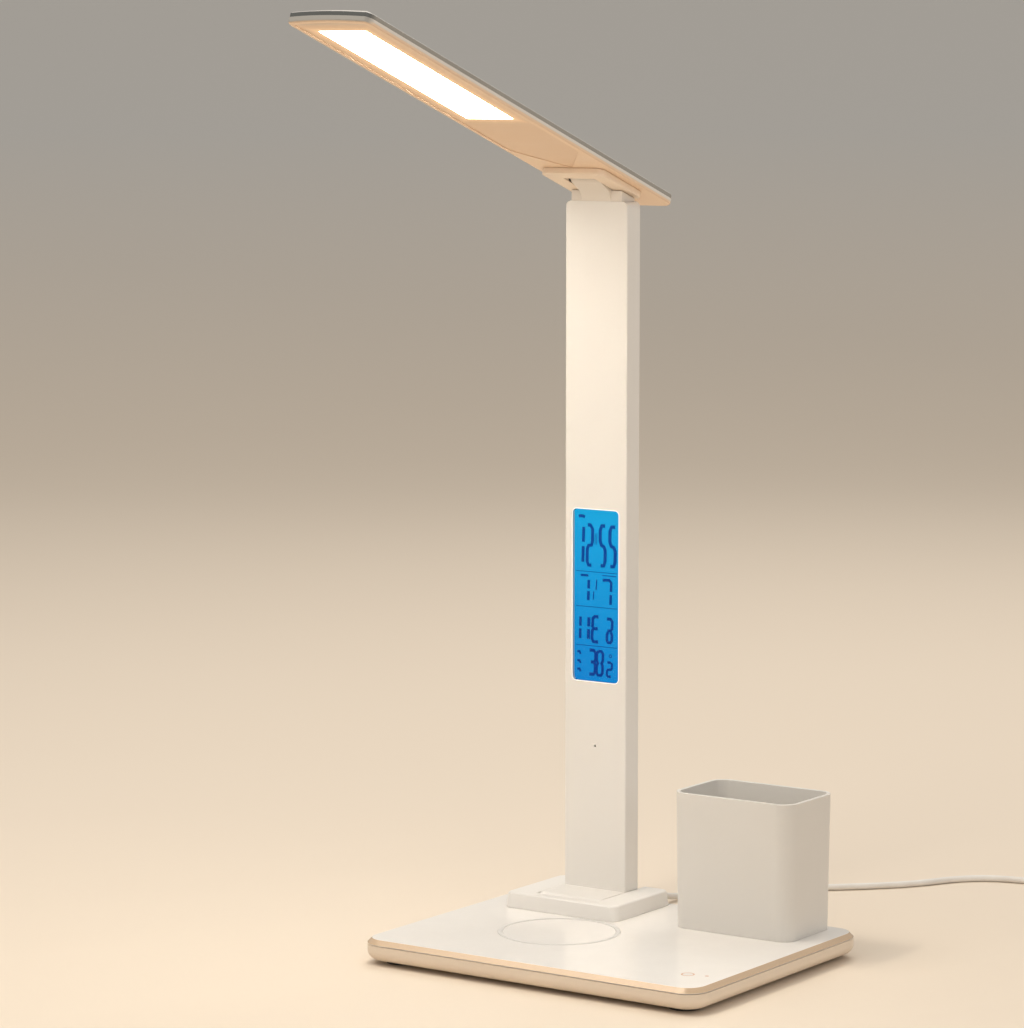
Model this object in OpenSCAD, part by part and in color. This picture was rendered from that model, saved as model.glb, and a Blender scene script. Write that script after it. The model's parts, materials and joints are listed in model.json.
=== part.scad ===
// Folding desk lamp on a wireless charging base, with a pen cup and a clock in its stem.
// Origin: middle of the base on the table. X runs along the front edge to the right, Y to the back, Z up.
// All sizes are in millimetres and angles in degrees.

/* [Base] */
// Length of the base, left to right
base_w = 200; // [190:1:230]
// Depth of the base, front to back
base_d = 160; // [154:1:180]
// Radius of the base's corners, seen from above
base_r = 12; // [8:0.5:24]
// Height of the base's top face above the table
base_h = 13.3; // [12.5:0.1:17]
// Height of the parting line between the lower shell and the top cover
seam_z = 10.3; // [9:0.1:10.4]
// Gap in the parting line
seam_gap = 0.3; // [0.1:0.05:0.5]
// Width and height of the bevel round the top cover
rim_bevel = 2.4; // [1:0.1:2.6]
// Radius that rolls the lower shell's wall under
bowl_r = 5; // [3:0.1:6]
// Wall of the base's two shells
base_wall = 2; // [1.6:0.1:2.4]
// Height of the lower shell's underside above the table
foot_lift = 2.2; // [1.2:0.1:3]
// Radius of a corner foot
foot_r = 8; // [6:0.5:12]
// Radius of the middle foot
middle_foot_r = 15; // [8:0.5:25]
// Depth of the pockets that the feet are glued into
foot_pocket = 0.8; // [0.4:0.1:1.2]
// Distance from the base's sides to the middle of a corner foot
foot_inset = 16; // [14:0.5:24]

/* [Weight and charger] */
// Distance from the base's sides to the steel weight
weight_side = 25; // [23:1:40]
// Distance from the base's front to the steel weight
weight_front = 14; // [10:1:30]
// Thickness of the steel weight
weight_t = 2.5; // [1:0.1:3]
// Distance from the stem's middle to the charging spot, to the right
spot_side = 22; // [10:0.5:30]
// Distance from the hinge platform's front to the middle of the charging spot
spot_front = 32; // [32:0.5:40]
// Outer radius of the charging coil
coil_r = 21.5; // [15:0.5:24]
// Radius of the charging coil's eye
coil_eye_r = 10; // [6:0.5:12]
// Thickness of the charging coil
coil_t = 1.2; // [0.8:0.1:1.4]
// Side of the square ferrite sheet under the coil
ferrite_w = 48; // [44:1:54]
// Thickness of the ferrite sheet
ferrite_t = 0.8; // [0.4:0.1:1]
// Radius of the soft grip ring on the charging spot, at its middle
grip_r = 30; // [26:1:36]
// Width of the grip ring
grip_w = 2.4; // [1.5:0.1:4]
// Length of the charger's circuit board
board_w = 50; // [40:1:52]
// Depth of the charger's circuit board
board_d = 34; // [24:1:36]
// Thickness of the circuit boards
board_t = 1.2; // [0.8:0.1:1.6]
// Distance from the base's right side to the middle of the touch keys
touch_side = 18; // [17:0.5:24]
// Distance from the base's front to the middle of the touch keys
touch_front = 29; // [29:0.5:36]

/* [Hinge platform] */
// Width of the raised platform round the stem's foot
platform_w = 70; // [68:1:76]
// Depth of the platform, front to back
platform_d = 54.5; // [54:0.5:58]
// Height of the platform over the base's top
platform_h = 8; // [7.5:0.1:12]
// Radius of the platform's corners
platform_r = 4; // [4:0.5:12]
// Slope of the platform's sides, as their spread at the foot
platform_slope = 1; // [0.2:0.1:1]
// Distance from the platform's back to the base's back
platform_inset = 3.5; // [3.5:0.1:8]
// Wall of the platform's shell
platform_wall = 1.8; // [1.2:0.1:1.8]
// Radius of the fold joint's pin
fold_pin_r = 2; // [1.5:0.1:2.2]
// Radius of the tongue's round nose about the fold joint
nose_r = 5; // [4.5:0.1:5]
// Distance from the stem's front face forward to the fold joint
fold_reach = 21; // [20:0.5:22]
// Thickness of the fold bracket's steel
bracket_t = 2; // [1.5:0.1:2]

/* [Stem] */
// Distance from the base's left side to the middle of the stem
stem_side = 53; // [50:0.5:56]
// Width of the stem
stem_w = 38; // [36:0.5:38]
// Thickness of the stem, front to back
stem_t = 12.5; // [12.5:0.1:14]
// Height of the stem above the platform
stem_h = 359; // [300:1:420]
// Distance from the stem's back face to the platform's back edge
stem_inset = 8; // [7.5:0.1:9]
// Wall of the stem's shells
stem_wall = 2; // [1.5:0.1:2]
// Radius of the stem's upright edges
stem_edge_r = 0.8; // [0.5:0.1:1.8]
// Radius of the stem's rounded shoulders
shoulder_r = 3.6; // [2:0.2:4]
// Depth of the plugs that close the stem's two ends
plug_depth = 24; // [16:1:30]

/* [Clock] */
// Width of the clock window
window_w = 28.4; // [24:0.2:29]
// Height of the clock window
window_h = 90; // [70:1:100]
// Height of the window's middle above the platform
window_z = 154.5; // [140:0.5:180]
// Corner radius of the window
window_r = 2.4; // [1:0.2:5]
// Height of the sensor hole above the platform
sensor_z = 75.5; // [66:0.5:90]
// Radius of the sensor hole
sensor_r = 0.7; // [0.4:0.1:1.2]
// Radius of a clock button
button_r = 3; // [2:0.1:3.2]
// Distance between two clock buttons
button_pitch = 12; // [10:0.5:14]
// How far a button stands out of the back cover
button_proud = 0.8; // [0.6:0.1:1]
// How far a button travels
button_travel = 0.5; // [0.3:0.05:0.5]
// Height of the middle button above the window's middle
button_rise = -20; // [-26:1:-14]
// Height of the coin cell above the window's middle
cell_rise = 22; // [16:1:28]
// Radius of the coin cell
cell_r = 10; // [8:0.5:10]

/* [Head] */
// Length of the lamp head from its joint to its tip
head_reach = 236; // [200:1:260]
// How far the head's tip bows out in its middle
tip_bow = 2.5; // [1:0.5:4]
// Length of the lamp head behind its joint
head_tail = 47.5; // [40:0.5:54]
// Width of the lamp head
head_w = 48; // [46:0.5:54]
// Radius of the head's corners
head_r = 7; // [4:0.5:8]
// Angle of the head above the horizontal in use
head_angle = 19.2; // [14:0.2:24]
// Height of the lower frame's side
frame_side = 2.9; // [2.4:0.1:3.2]
// Height of the dark band round the head
band_h = 2.1; // [1.5:0.1:2.4]
// Height of the top cover's edge above the band
cover_edge = 0.4; // [0.3:0.1:0.8]
// Distance from the band's side in to the top cover's edge
cover_step = 0.8; // [0.4:0.1:1]
// Rise of the bevel on the top cover
cover_rise = 1.6; // [1:0.1:2]
// Width of the bevel on the top cover
cover_bevel = 4; // [2:0.1:4]
// Wall of the head's shells
head_wall = 1.5; // [1.2:0.1:1.6]
// Width of the light panel
panel_w = 28; // [24:0.5:30]
// Length of the light panel
panel_l = 128; // [100:1:140]
// Distance from the head's tip to the light panel
panel_inset = 15; // [12:0.5:24]
// Depth of the shallow tray in the underside
tray_depth = 0.4; // [0.2:0.1:0.5]
// Distance from the head's sides to the tray
tray_side = 3; // [2.6:0.1:4]
// Length over which the tray narrows to its point
tray_taper = 26; // [20:0.5:30]
// Radius of the corners where the tray starts to narrow
tray_corner_r = 8; // [6:0.5:9]
// Radius of the tray's point
tray_point_r = 2.5; // [1.5:0.5:4]
// Number of light sources along each side of the panel
led_count = 20; // [12:1:24]

/* [Head joint] */
// How far the joint lies in front of the stem's front face
tilt_reach = 6.9; // [6:0.1:7.5]
// Height of the joint above the stem's top
tilt_rise = 13.1; // [12.5:0.1:14]
// Depth of the joint's axis below the top of the lower frame's floor
axis_depth = 0.5; // [0.3:0.1:0.8]
// Thickness of the hinge pad under the head
pad_t = 3.4; // [3.2:0.1:3.6]
// Width of the hinge pad
pad_w = 38; // [36:0.5:40]
// Length of the hinge pad in front of the joint
pad_front = 17; // [14:0.5:22]
// Length of the hinge pad behind the joint
pad_back = 24; // [22:0.5:28]
// Width of the neck
neck_w = 18; // [14:0.5:19]
// Radius of the neck's barrel
barrel_r = 4.2; // [3.6:0.1:4.2]
// Radius of the head joint's pin
tilt_pin_r = 1.75; // [1.5:0.05:1.8]
// Gap between moving plastic faces
running_gap = 0.4; // [0.3:0.05:0.5]
// Clearance all round a pin in its bore
pin_gap = 0.05; // [0.03:0.01:0.08]

/* [Pen cup] */
// Width of the cup at its rim
cup_w = 70.6; // [50:0.2:72]
// Depth of the cup at its rim
cup_d = 47; // [40:1:47]
// Height of the cup
cup_h = 70; // [50:1:110]
// Wall of the cup
cup_wall = 2; // [1.4:0.1:3]
// Thickness of the cup's floor
cup_floor = 2.5; // [1.5:0.1:4]
// How much narrower the cup is at its foot, on each side
cup_draft = 1; // [0.2:0.1:1.5]
// Corner radius of the cup at its rim
cup_r = 9; // [5:0.5:14]
// Distance from the cup's right side to the base's right side
cup_side = 14; // [8:0.5:20]
// Distance from the cup's back to the base's back
cup_back = 2.6; // [2.4:0.1:6]
// Radius of the two pegs that keep the cup in place
peg_r = 2; // [1.5:0.1:2.5]
// Length of the pegs
peg_l = 1.8; // [1:0.1:1.8]

/* [Power cord] */
// Diameter of the cord
cord_d = 3.5; // [3:0.1:4]
// Width of the plug's grip at the lamp
plug_w = 11; // [10:0.5:12]
// Thickness of the plug's grip at the lamp
plug_t = 6.4; // [5.6:0.1:6.4]
// Length of the plug's grip at the lamp
plug_l = 18; // [14:0.5:24]
// Length of the tapered strain relief
relief_l = 10; // [8:0.5:14]
// Width of the far plug's grip
far_w = 15; // [14:0.5:16]
// Thickness of the far plug's grip
far_t = 7.6; // [7:0.1:8]
// Length of the far plug's grip
far_l = 26; // [20:1:30]
// Turns in each of the coil's two layers
coil_turns = 3.75; // [1.75:0.5:3.75]
// Radius at the middle of the coil's turns
coil_mid_r = 20; // [18:0.5:24]
// Free gap between two turns of the coil
turn_gap = 0.5; // [0.45:0.05:1]

/* [Hidden] */
$fn = 64;
eps = 0.01;

// Heights in the base
shell_z = foot_lift;
floor_z = shell_z + base_wall;
ceiling_z = base_h - base_wall;
cover_z = seam_z + seam_gap;
boss_z = floor_z + 2;
stem_x = -base_w/2 + stem_side;
touch_x = base_w/2 - touch_side;
touch_y = -base_d/2 + touch_front;
board_x = base_w/2 - foot_inset - 6 - board_w/2;
board_y = base_d/2 - base_wall - 7 - board_d/2;

// Places round the stem
platform_top = base_h + platform_h;
platform_back = base_d/2 - platform_inset;
platform_front = platform_back - platform_d;
spot_x = stem_x + spot_side;
spot_y = platform_front - spot_front;
weight_back = platform_front - 4;
stem_back = platform_back - stem_inset;
stem_front = stem_back - stem_t;
stem_mid = (stem_front + stem_back)/2;
stem_top = platform_top + stem_h;
fold_y = stem_front - fold_reach;
fold_z = platform_top - nose_r;
foot_w = stem_w - 2*0.3;
slot_w = foot_w + 2*running_gap;
cheek_t = 1.4;
ear_x = slot_w/2 + cheek_t + 0.4;
stop_gap = 0.3;

// Inside of the stem
inner_w = stem_w - 2*stem_wall;
back_t = 2;
inner_front = stem_front + stem_wall;
inner_back = stem_back - back_t;
plug_gap = 0.1;
clock_z = platform_top + window_z;
lens_t = stem_wall - 0.1;
display_t = 1.6;
backlight_t = 1.6;
clock_board_t = 0.8;
display_y = inner_front + 0.05;
backlight_y = display_y + display_t;
clock_board_y = backlight_y + backlight_t;
clock_board_back = clock_board_y + clock_board_t;
wire_r = 0.8;

// The head's own frame: the joint's axis is its origin, and its tip lies towards -Y
tilt_y = stem_front - tilt_reach;
tilt_z = stem_top + tilt_rise;
under_z = axis_depth - head_wall;
band_z = under_z + frame_side;
cover_bottom_z = band_z + band_h;
bevel_z = cover_bottom_z + cover_edge;
head_top_z = bevel_z + cover_rise;
ceiling_head_z = head_top_z - head_wall;
head_l = head_reach + head_tail;
head_mid = (head_tail - head_reach)/2;
tip_arc = (head_w*head_w/4 + tip_bow*tip_bow)/(2*tip_bow);
pad_z = under_z - pad_t;
panel_y = -head_reach + panel_inset + panel_l/2;
flange = 1;
flange_t = 0.8;
guide_z = axis_depth + flange_t;
reflector_t = 0.3;
plate_t = 0.6;
reflector_z = ceiling_head_z - 0.1 - plate_t - reflector_t;
guide_t = reflector_z - guide_z;
ear_r = 3;
ear_t = 1.2;
tilt_ear_x = neck_w/2 + running_gap;
slot_front = 8.5;
slot_back = 20;

// The cup
cup_x = base_w/2 - cup_side - cup_w/2;
cup_y = base_d/2 - cup_back - cup_d/2;
peg_x = cup_w/2 - 14;

// The power socket and the cord's own pieces
socket_x = stem_x;
socket_t = 3.2;
socket_w = 9;
socket_l = 7.4;
socket_wall = 0.3;
tip_gap = 0.08;
socket_z = max(floor_z + board_t + socket_t/2, plug_t/2 + 0.2);
socket_back = base_d/2 - base_wall;
cord_r = cord_d/2;
cord_start = [socket_x, base_d/2 + plug_l + relief_l, socket_z];
// Waypoints of the free cord, counted from the strain relief's end, with heights above the table
route = [
  [0, 10, 6.3], [-1, 18, 4.8], [-1, 26, 3.0], [0, 35, 2.0], [4, 46, 1.8], [11, 57, 1.8], [22, 69, 1.8],
  [37, 84, 1.8], [55, 99.5, 1.8], [69, 112.5, 1.8], [83, 127.5, 1.8], [92, 140.5, 1.8], [99, 153.5, 1.8],
  [108, 164.5, 1.8], [119, 171.5, 1.8], [133, 175.5, 1.8], [149, 176.5, 1.8], [165, 175.5, 2.2],
  [178, 174.5, 2.6]
];
coil_right = 192;
coil_behind = 201.5;
coil_centre = [cord_start[0] + coil_right, cord_start[1] + coil_behind];
tie_t = 0.8;

// ---------------------------------------------------------------- shapes that repeat

// Rounded rectangle about the origin, seen from above
module rounded_rect(w, d, r) {
  square([w - 2*r, d], center = true);
  square([w, d - 2*r], center = true);
  for (x = [-1, 1], y = [-1, 1])
    translate([x*(w/2 - r), y*(d/2 - r)]) circle(r);
}

// Block with round upright edges, from height z0 to z1
module rounded_block(w, d, r, z0, z1) {
  translate([0, 0, z0]) linear_extrude(z1 - z0) rounded_rect(w, d, r);
}

// Sweeps a side profile round a rounded rectangle and fills the middle. The profile's x runs
// outwards from the corners' own centres and its y is the height, from z0 to z1 at x = 0.
module profiled_block(w, d, r, z0, z1) {
  for (i = [0:3]) {
    a = (i % 2 == 0) ? w : d;
    b = (i % 2 == 0) ? d : w;
    rotate([0, 0, 90*i])
      translate([a/2 - r, b/2 - r, 0]) {
        rotate_extrude(angle = 90) children();
        rotate([90, 0, 0]) linear_extrude(b - 2*r) children();
      }
  }
  translate([-w/2 + r, -d/2 + r, z0]) cube([w - 2*r, d - 2*r, z1 - z0]);
}

// Side profile with a rounded lower corner
module bowl_side(r, z0, z1, fillet) {
  intersection() {
    translate([0, z0]) square([r, z1 - z0]);
    union() {
      translate([0, z0 + fillet]) square([r, z1 - z0]);
      translate([0, z0]) square([r - fillet, fillet + eps]);
      translate([r - fillet, z0 + fillet]) circle(fillet);
    }
  }
}

// Block whose lower edge is rounded
module bowl_block(w, d, r, z0, z1, fillet) {
  profiled_block(w, d, r, z0, z1) bowl_side(r, z0, z1, fillet);
}

// Block whose upper edge is bevelled
module bevel_block(w, d, r, z0, z1, bevel_w, bevel_h) {
  profiled_block(w, d, r, z0, z1)
    polygon([[0, z0], [r, z0], [r, z1 - bevel_h], [r - bevel_w, z1], [0, z1]]);
}

// Cylinder along X, centred on the YZ point
module bar_x(x0, x1, y, z, r) {
  translate([x0, y, z]) rotate([0, 90, 0]) cylinder(h = x1 - x0, r = r);
}

// Extrudes a drawing in Y and Z along X, from x0 to x1
module across(x0, x1) {
  translate([x0, 0, 0]) rotate([90, 0, 90]) linear_extrude(x1 - x0) children();
}

// Box between two corners
module span(a, b) {
  translate(a) cube(b - a);
}

// Copies of its child at the four corner feet
module at_feet() {
  for (x = [-1, 1], y = [-1, 1])
    translate([x*(base_w/2 - foot_inset), y*(base_d/2 - foot_inset), 0]) children();
}

// Places its children in the head's own frame
module at_head() {
  translate([stem_x, tilt_y, tilt_z]) rotate([-head_angle, 0, 0]) children();
}

// ---------------------------------------------------------------- cords

function unit(v) = v/norm(v);

// A point on the smooth curve through p[i] and p[i+1]
function curve_point(p, i, t) =
  let (a = p[max(i - 1, 0)], b = p[i], c = p[i + 1], d = p[min(i + 2, len(p) - 1)])
  0.5*(2*b + (c - a)*t + (2*a - 5*b + 4*c - d)*t*t + (3*b - a - 3*c + d)*t*t*t);

// The smooth curve through all points, with n steps between two of them
function smooth_curve(p, n) = concat(
  [for (i = [0:len(p) - 2], k = [0:n - 1]) curve_point(p, i, k/n)], [p[len(p) - 1]]);

function heading(p, i) = unit(p[min(i + 1, len(p) - 1)] - p[max(i - 1, 0)]);

// Round tube of radius r along the points p, with the given number of sides
module tube(p, r, sides) {
  n = len(p);
  rings = [for (i = [0:n - 1])
    let (t = heading(p, i), side = unit(cross([0, 0, 1], t)), up = cross(t, side))
    for (k = [0:sides - 1]) p[i] + r*(cos(360*k/sides)*side + sin(360*k/sides)*up)];
  walls = [for (i = [0:n - 2], k = [0:sides - 1])
    let (a = i*sides + k, b = i*sides + (k + 1) % sides)
    each [[a, a + sides, b + sides], [a, b + sides, b]]];
  first = [for (k = [1:sides - 2]) [0, k, k + 1]];
  last = [for (k = [1:sides - 2]) [(n - 1)*sides, (n - 1)*sides + k + 1, (n - 1)*sides + k]];
  polyhedron(points = rings, faces = concat(walls, first, last), convexity = 10);
}

// The coil winds inwards in its lower layer, climbs in the half turn where it reverses, and winds
// out again on top. A straight end leads into it, and a straight tail comes down to the far plug.
turn_step = cord_d + turn_gap;
layer_rise = cord_d + turn_gap;
coil_outer = coil_mid_r + turn_step*coil_turns/2;
coil_inner = coil_outer - turn_step*(coil_turns + 0.25);
coil_low = tie_t + cord_r + 0.05;
layer_angle = 360*coil_turns;
coil_angle = 2*layer_angle + 180;
function coil_radius(a) = coil_outer - turn_step*min(a, coil_angle - a)/360;
function coil_height(a) =
  coil_low + layer_rise*(1 - cos(180*min(max((a - layer_angle)/180, 0), 1)))/2;
function coil_point(a) = [
  coil_centre[0] + coil_radius(a)*cos(a - 90),
  coil_centre[1] + coil_radius(a)*sin(a - 90),
  coil_height(a)];
sections_per_turn = 24;
turns_path = [for (i = [0:sections_per_turn*coil_angle/360]) coil_point(i*360/sections_per_turn)];
coil_in = turns_path[0] - [cord_d, 0, 0];
coil_out = turns_path[len(turns_path) - 1];
far_z = far_t/2 + 0.05;
tail = [for (p = [[7, 0], [14, 0], [18, 0.15], [22, 0.5], [26, 0.85], [30, 1], [34, 1]])
  coil_out + [p[0], 0, p[1]*(far_z - coil_out[2])]];
coil_path = concat([coil_in], turns_path, tail);

// Least free gap between two stretches of the coil more than half a turn apart
coil_gap = min([for (i = [0:len(coil_path) - 1], j = [i + sections_per_turn/2:1:len(coil_path) - 1])
  norm(coil_path[i] - coil_path[j])]) - cord_d;
echo(coil_gap = coil_gap);

// ---------------------------------------------------------------- base

module base_lower_shell() {
  color("ivory") difference() {
    union() {
      difference() {
        bowl_block(base_w, base_d, base_r, shell_z, seam_z, bowl_r);
        bowl_block(base_w - 2*base_wall, base_d - 2*base_wall, base_r - base_wall,
                   floor_z, seam_z + 1, bowl_r - base_wall);
      }
      at_feet() translate([0, 0, floor_z - eps]) cylinder(h = boss_z - floor_z + eps, r = 4);
      for (x = [-1, 1], y = [-1, 1])
        translate([board_x + x*(board_w/2 - 3), board_y + y*(board_d/2 - 3), floor_z - eps])
          cylinder(h = boss_z - floor_z + eps, r = 2.5);
    }
    at_feet() {
      translate([0, 0, shell_z - 1]) cylinder(h = 1 + foot_pocket, r = foot_r + 0.1);
      translate([0, 0, shell_z]) cylinder(h = base_wall + 0.4, r = 2.3);
      cylinder(h = boss_z + 1, r = 1.25);
    }
    translate([0, 0, shell_z - 1]) cylinder(h = 1 + foot_pocket, r = middle_foot_r + 0.1);
    span([socket_x - socket_w/2 - 0.2, base_d/2 - 6, socket_z - socket_t/2 - 0.2],
         [socket_x + socket_w/2 + 0.2, base_d/2 + 1, socket_z + socket_t/2 + 0.2]);
  }
}

module base_top_cover() {
  boss_bottom = boss_z + 0.05;
  color("white") difference() {
    union() {
      difference() {
        bevel_block(base_w, base_d, base_r, cover_z, base_h, rim_bevel, rim_bevel);
        rounded_block(base_w - 3*base_wall, base_d - 3*base_wall, base_r - 1.5*base_wall,
                      cover_z - 1, ceiling_z);
      }
      at_feet() translate([0, 0, boss_bottom]) cylinder(h = ceiling_z - boss_bottom + eps, r = 4);
    }
    at_feet() translate([0, 0, boss_bottom - 1]) cylinder(h = ceiling_z - boss_bottom + 1, r = 1.05);
    span([stem_x - ear_x - bracket_t - 3, platform_front + 4, cover_z - 1],
         [stem_x + ear_x + bracket_t + 6, platform_back - 4, base_h + 1]);
    for (x = [-1, 1])
      translate([cup_x + x*peg_x, cup_y, ceiling_z - 1]) cylinder(h = base_wall + 2, r = peg_r + 0.3);
    translate([spot_x, spot_y, base_h - 0.5]) difference() {
      cylinder(h = 1, r = grip_r + grip_w/2 + 0.05);
      translate([0, 0, -1]) cylinder(h = 3, r = grip_r - grip_w/2 - 0.05);
    }
  }
}

module base_feet() {
  color("dimgray") {
    at_feet() cylinder(h = shell_z + foot_pocket, r = foot_r);
    cylinder(h = shell_z + foot_pocket, r = middle_foot_r);
  }
}

module base_screws() {
  head_z = shell_z + foot_pocket + 0.05;
  color("silver") at_feet() {
    translate([0, 0, head_z]) cylinder(h = shell_z + base_wall + 0.4 - head_z, r = 2.2);
    translate([0, 0, shell_z + base_wall + 0.4 - eps])
      cylinder(h = ceiling_z - 0.4 - shell_z - base_wall - 0.4, r = 1);
  }
}

module steel_weight() {
  front = -base_d/2 + weight_front;
  color("gray") translate([0, (front + weight_back)/2, 0])
    rounded_block(base_w - 2*weight_side, weight_back - front, 6, floor_z, floor_z + weight_t);
}

module grip_ring() {
  color("lightgray") translate([spot_x, spot_y, base_h - 0.5]) difference() {
    cylinder(h = 0.7, r = grip_r + grip_w/2);
    translate([0, 0, -1]) cylinder(h = 3, r = grip_r - grip_w/2);
  }
}

module charging_coil() {
  color("peru") translate([spot_x, spot_y, ceiling_z - coil_t]) difference() {
    cylinder(h = coil_t, r = coil_r);
    translate([0, 0, -1]) cylinder(h = coil_t + 2, r = coil_eye_r);
  }
}

module ferrite_sheet() {
  color("dimgray") translate([spot_x, spot_y, 0])
    rounded_block(ferrite_w, ferrite_w, 2, ceiling_z - coil_t - ferrite_t, ceiling_z - coil_t);
}

module charger_board() {
  color("seagreen") translate([board_x, board_y, 0])
    rounded_block(board_w, board_d, 2, boss_z, boss_z + board_t);
}

module charger_parts() {
  top = boss_z + board_t;
  color("black") translate([board_x, board_y, top]) {
    span([-20, -10, 0], [-12, -2, 1.2]);
    span([-4, -9, 0], [4, -3, 1.2]);
    span([8, 2, 0], [16, 10, 1.6]);
    for (x = [-14, -6, 2]) translate([x, 7, 0]) cylinder(h = 1.8, r = 2.5);
  }
}

module touch_board() {
  color("seagreen") translate([touch_x, touch_y, 0])
    rounded_block(22, 16, 2, ceiling_z - board_t, ceiling_z);
}

module socket_board() {
  back = socket_back - bowl_r + base_wall;
  color("seagreen") span([socket_x - 8, back - 6, socket_z - socket_t/2 - board_t],
                         [socket_x + 8, back, socket_z - socket_t/2]);
}

module power_socket() {
  half = socket_t/2;
  color("silver") translate([socket_x, socket_back, socket_z]) difference() {
    span([-socket_w/2, -socket_l, -half], [socket_w/2, 0, half]);
    span([-socket_w/2 + socket_wall, -socket_l + socket_wall, -half + socket_wall],
         [socket_w/2 - socket_wall, 1, half - socket_wall]);
  }
}

// ---------------------------------------------------------------- fold joint

// Solid outline of the platform between two heights
module platform_form(inset, z0, z1) {
  r = platform_r - inset;
  w = platform_w - 2*platform_slope - 2*inset;
  d = platform_d - 2*platform_slope - 2*inset;
  translate([stem_x, platform_back - platform_d/2, 0])
    profiled_block(w, d, r, z0, z1)
      polygon([[0, z0], [r + platform_slope, z0], [r, z1 - 0.8], [r - 0.8, z1], [0, z1]]);
}

module hinge_platform() {
  top = platform_top;
  color("white") difference() {
    union() {
      difference() {
        platform_form(0, base_h, top);
        platform_form(platform_wall, base_h - 1, top - platform_wall);
      }
      for (s = [-1, 1])
        translate([stem_x, 0, 0])
          span([s > 0 ? slot_w/2 : -slot_w/2 - cheek_t, platform_front + 1, base_h],
               [s > 0 ? slot_w/2 + cheek_t : -slot_w/2, platform_back - 1, top - 1]);
    }
    span([stem_x - slot_w/2, fold_y - nose_r - running_gap, base_h - 1],
         [stem_x + slot_w/2, platform_back + 1, top + 1]);
    bar_x(stem_x - ear_x, stem_x + ear_x, fold_y, fold_z, fold_pin_r + 0.3);
    span([stem_x - ear_x, fold_y - fold_pin_r - 0.3, base_h - 1],
         [stem_x + ear_x, fold_y + fold_pin_r + 0.3, fold_z]);
  }
}

module fold_bracket() {
  top = platform_top - platform_wall - 0.2;
  half = ear_x + bracket_t;
  rest_top = fold_z - nose_r - stop_gap;
  color("silver") difference() {
    union() {
      span([stem_x - half - 2, platform_front + 4.5, floor_z],
           [stem_x + half + 2, socket_back - 10, floor_z + bracket_t]);
      for (s = [-1, 1])
        translate([stem_x + (s > 0 ? ear_x : -half), 0, 0])
          span([0, fold_y - 5, floor_z + bracket_t - eps], [bracket_t, fold_y + 9, top]);
      span([stem_x - foot_w/2 + 1, stem_front, floor_z + bracket_t - eps],
           [stem_x + foot_w/2 - 1, stem_front + 7, rest_top]);
    }
    bar_x(stem_x - half - 5, stem_x + half + 5, fold_y, fold_z, fold_pin_r + pin_gap);
  }
}

module fold_pin() {
  half = ear_x + bracket_t;
  color("silver") {
    bar_x(stem_x - half - 0.5, stem_x + half + 5.2, fold_y, fold_z, fold_pin_r);
    bar_x(stem_x - half - 2, stem_x - half - 0.05, fold_y, fold_z, fold_pin_r + 1);
  }
}

module fold_washers() {
  start = stem_x + ear_x + bracket_t + 0.05;
  color("gold") difference() {
    for (i = [0:1]) bar_x(start + i*0.65, start + i*0.65 + 0.6, fold_y, fold_z, fold_pin_r + 1);
    bar_x(start - 1, start + 3, fold_y, fold_z, fold_pin_r + pin_gap);
  }
}

module fold_nut() {
  start = stem_x + ear_x + bracket_t + 1.4;
  color("silver") difference() {
    translate([start, fold_y, fold_z]) rotate([0, 90, 0]) rotate(30)
      cylinder(h = 3, r = fold_pin_r + 1.1, $fn = 6);
    bar_x(start - 1, start + 4, fold_y, fold_z, fold_pin_r + pin_gap);
  }
}

// ---------------------------------------------------------------- stem

module stem_foot() {
  foot_bottom = fold_z - nose_r;
  plug_top = platform_top + plug_depth;
  color("white") difference() {
    union() {
      bar_x(stem_x - foot_w/2, stem_x + foot_w/2, fold_y, fold_z, nose_r);
      span([stem_x - foot_w/2, fold_y, foot_bottom], [stem_x + foot_w/2, stem_back, platform_top]);
      span([stem_x - inner_w/2 + plug_gap, inner_front + plug_gap, platform_top - eps],
           [stem_x + inner_w/2 - plug_gap, inner_back - plug_gap, plug_top]);
    }
    bar_x(stem_x - stem_w, stem_x + stem_w, fold_y, fold_z, fold_pin_r + pin_gap);
    span([stem_x + inner_w/2 - 6, inner_back - 3, platform_top - 6],
         [stem_x + inner_w/2, inner_back, plug_top + 1]);
  }
}

// Front view of the stem, with its rounded shoulders, extruded through its thickness
module stem_outline() {
  w = stem_w;
  translate([stem_x, stem_back + 1, platform_top]) rotate([90, 0, 0]) linear_extrude(stem_t + 2) {
    translate([-w/2, 0]) square([w, stem_h - shoulder_r]);
    translate([-w/2 + shoulder_r, 0]) square([w - 2*shoulder_r, stem_h]);
    for (s = [-1, 1]) translate([s*(w/2 - shoulder_r), stem_h - shoulder_r]) circle(shoulder_r);
  }
}

// Middles of the screws in the back cover, above the platform
screw_heights = [
  plug_depth + 14, window_z - window_h/2 - 7,
  window_z + window_h/2 + 12, stem_h - plug_depth - 12
];

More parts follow.
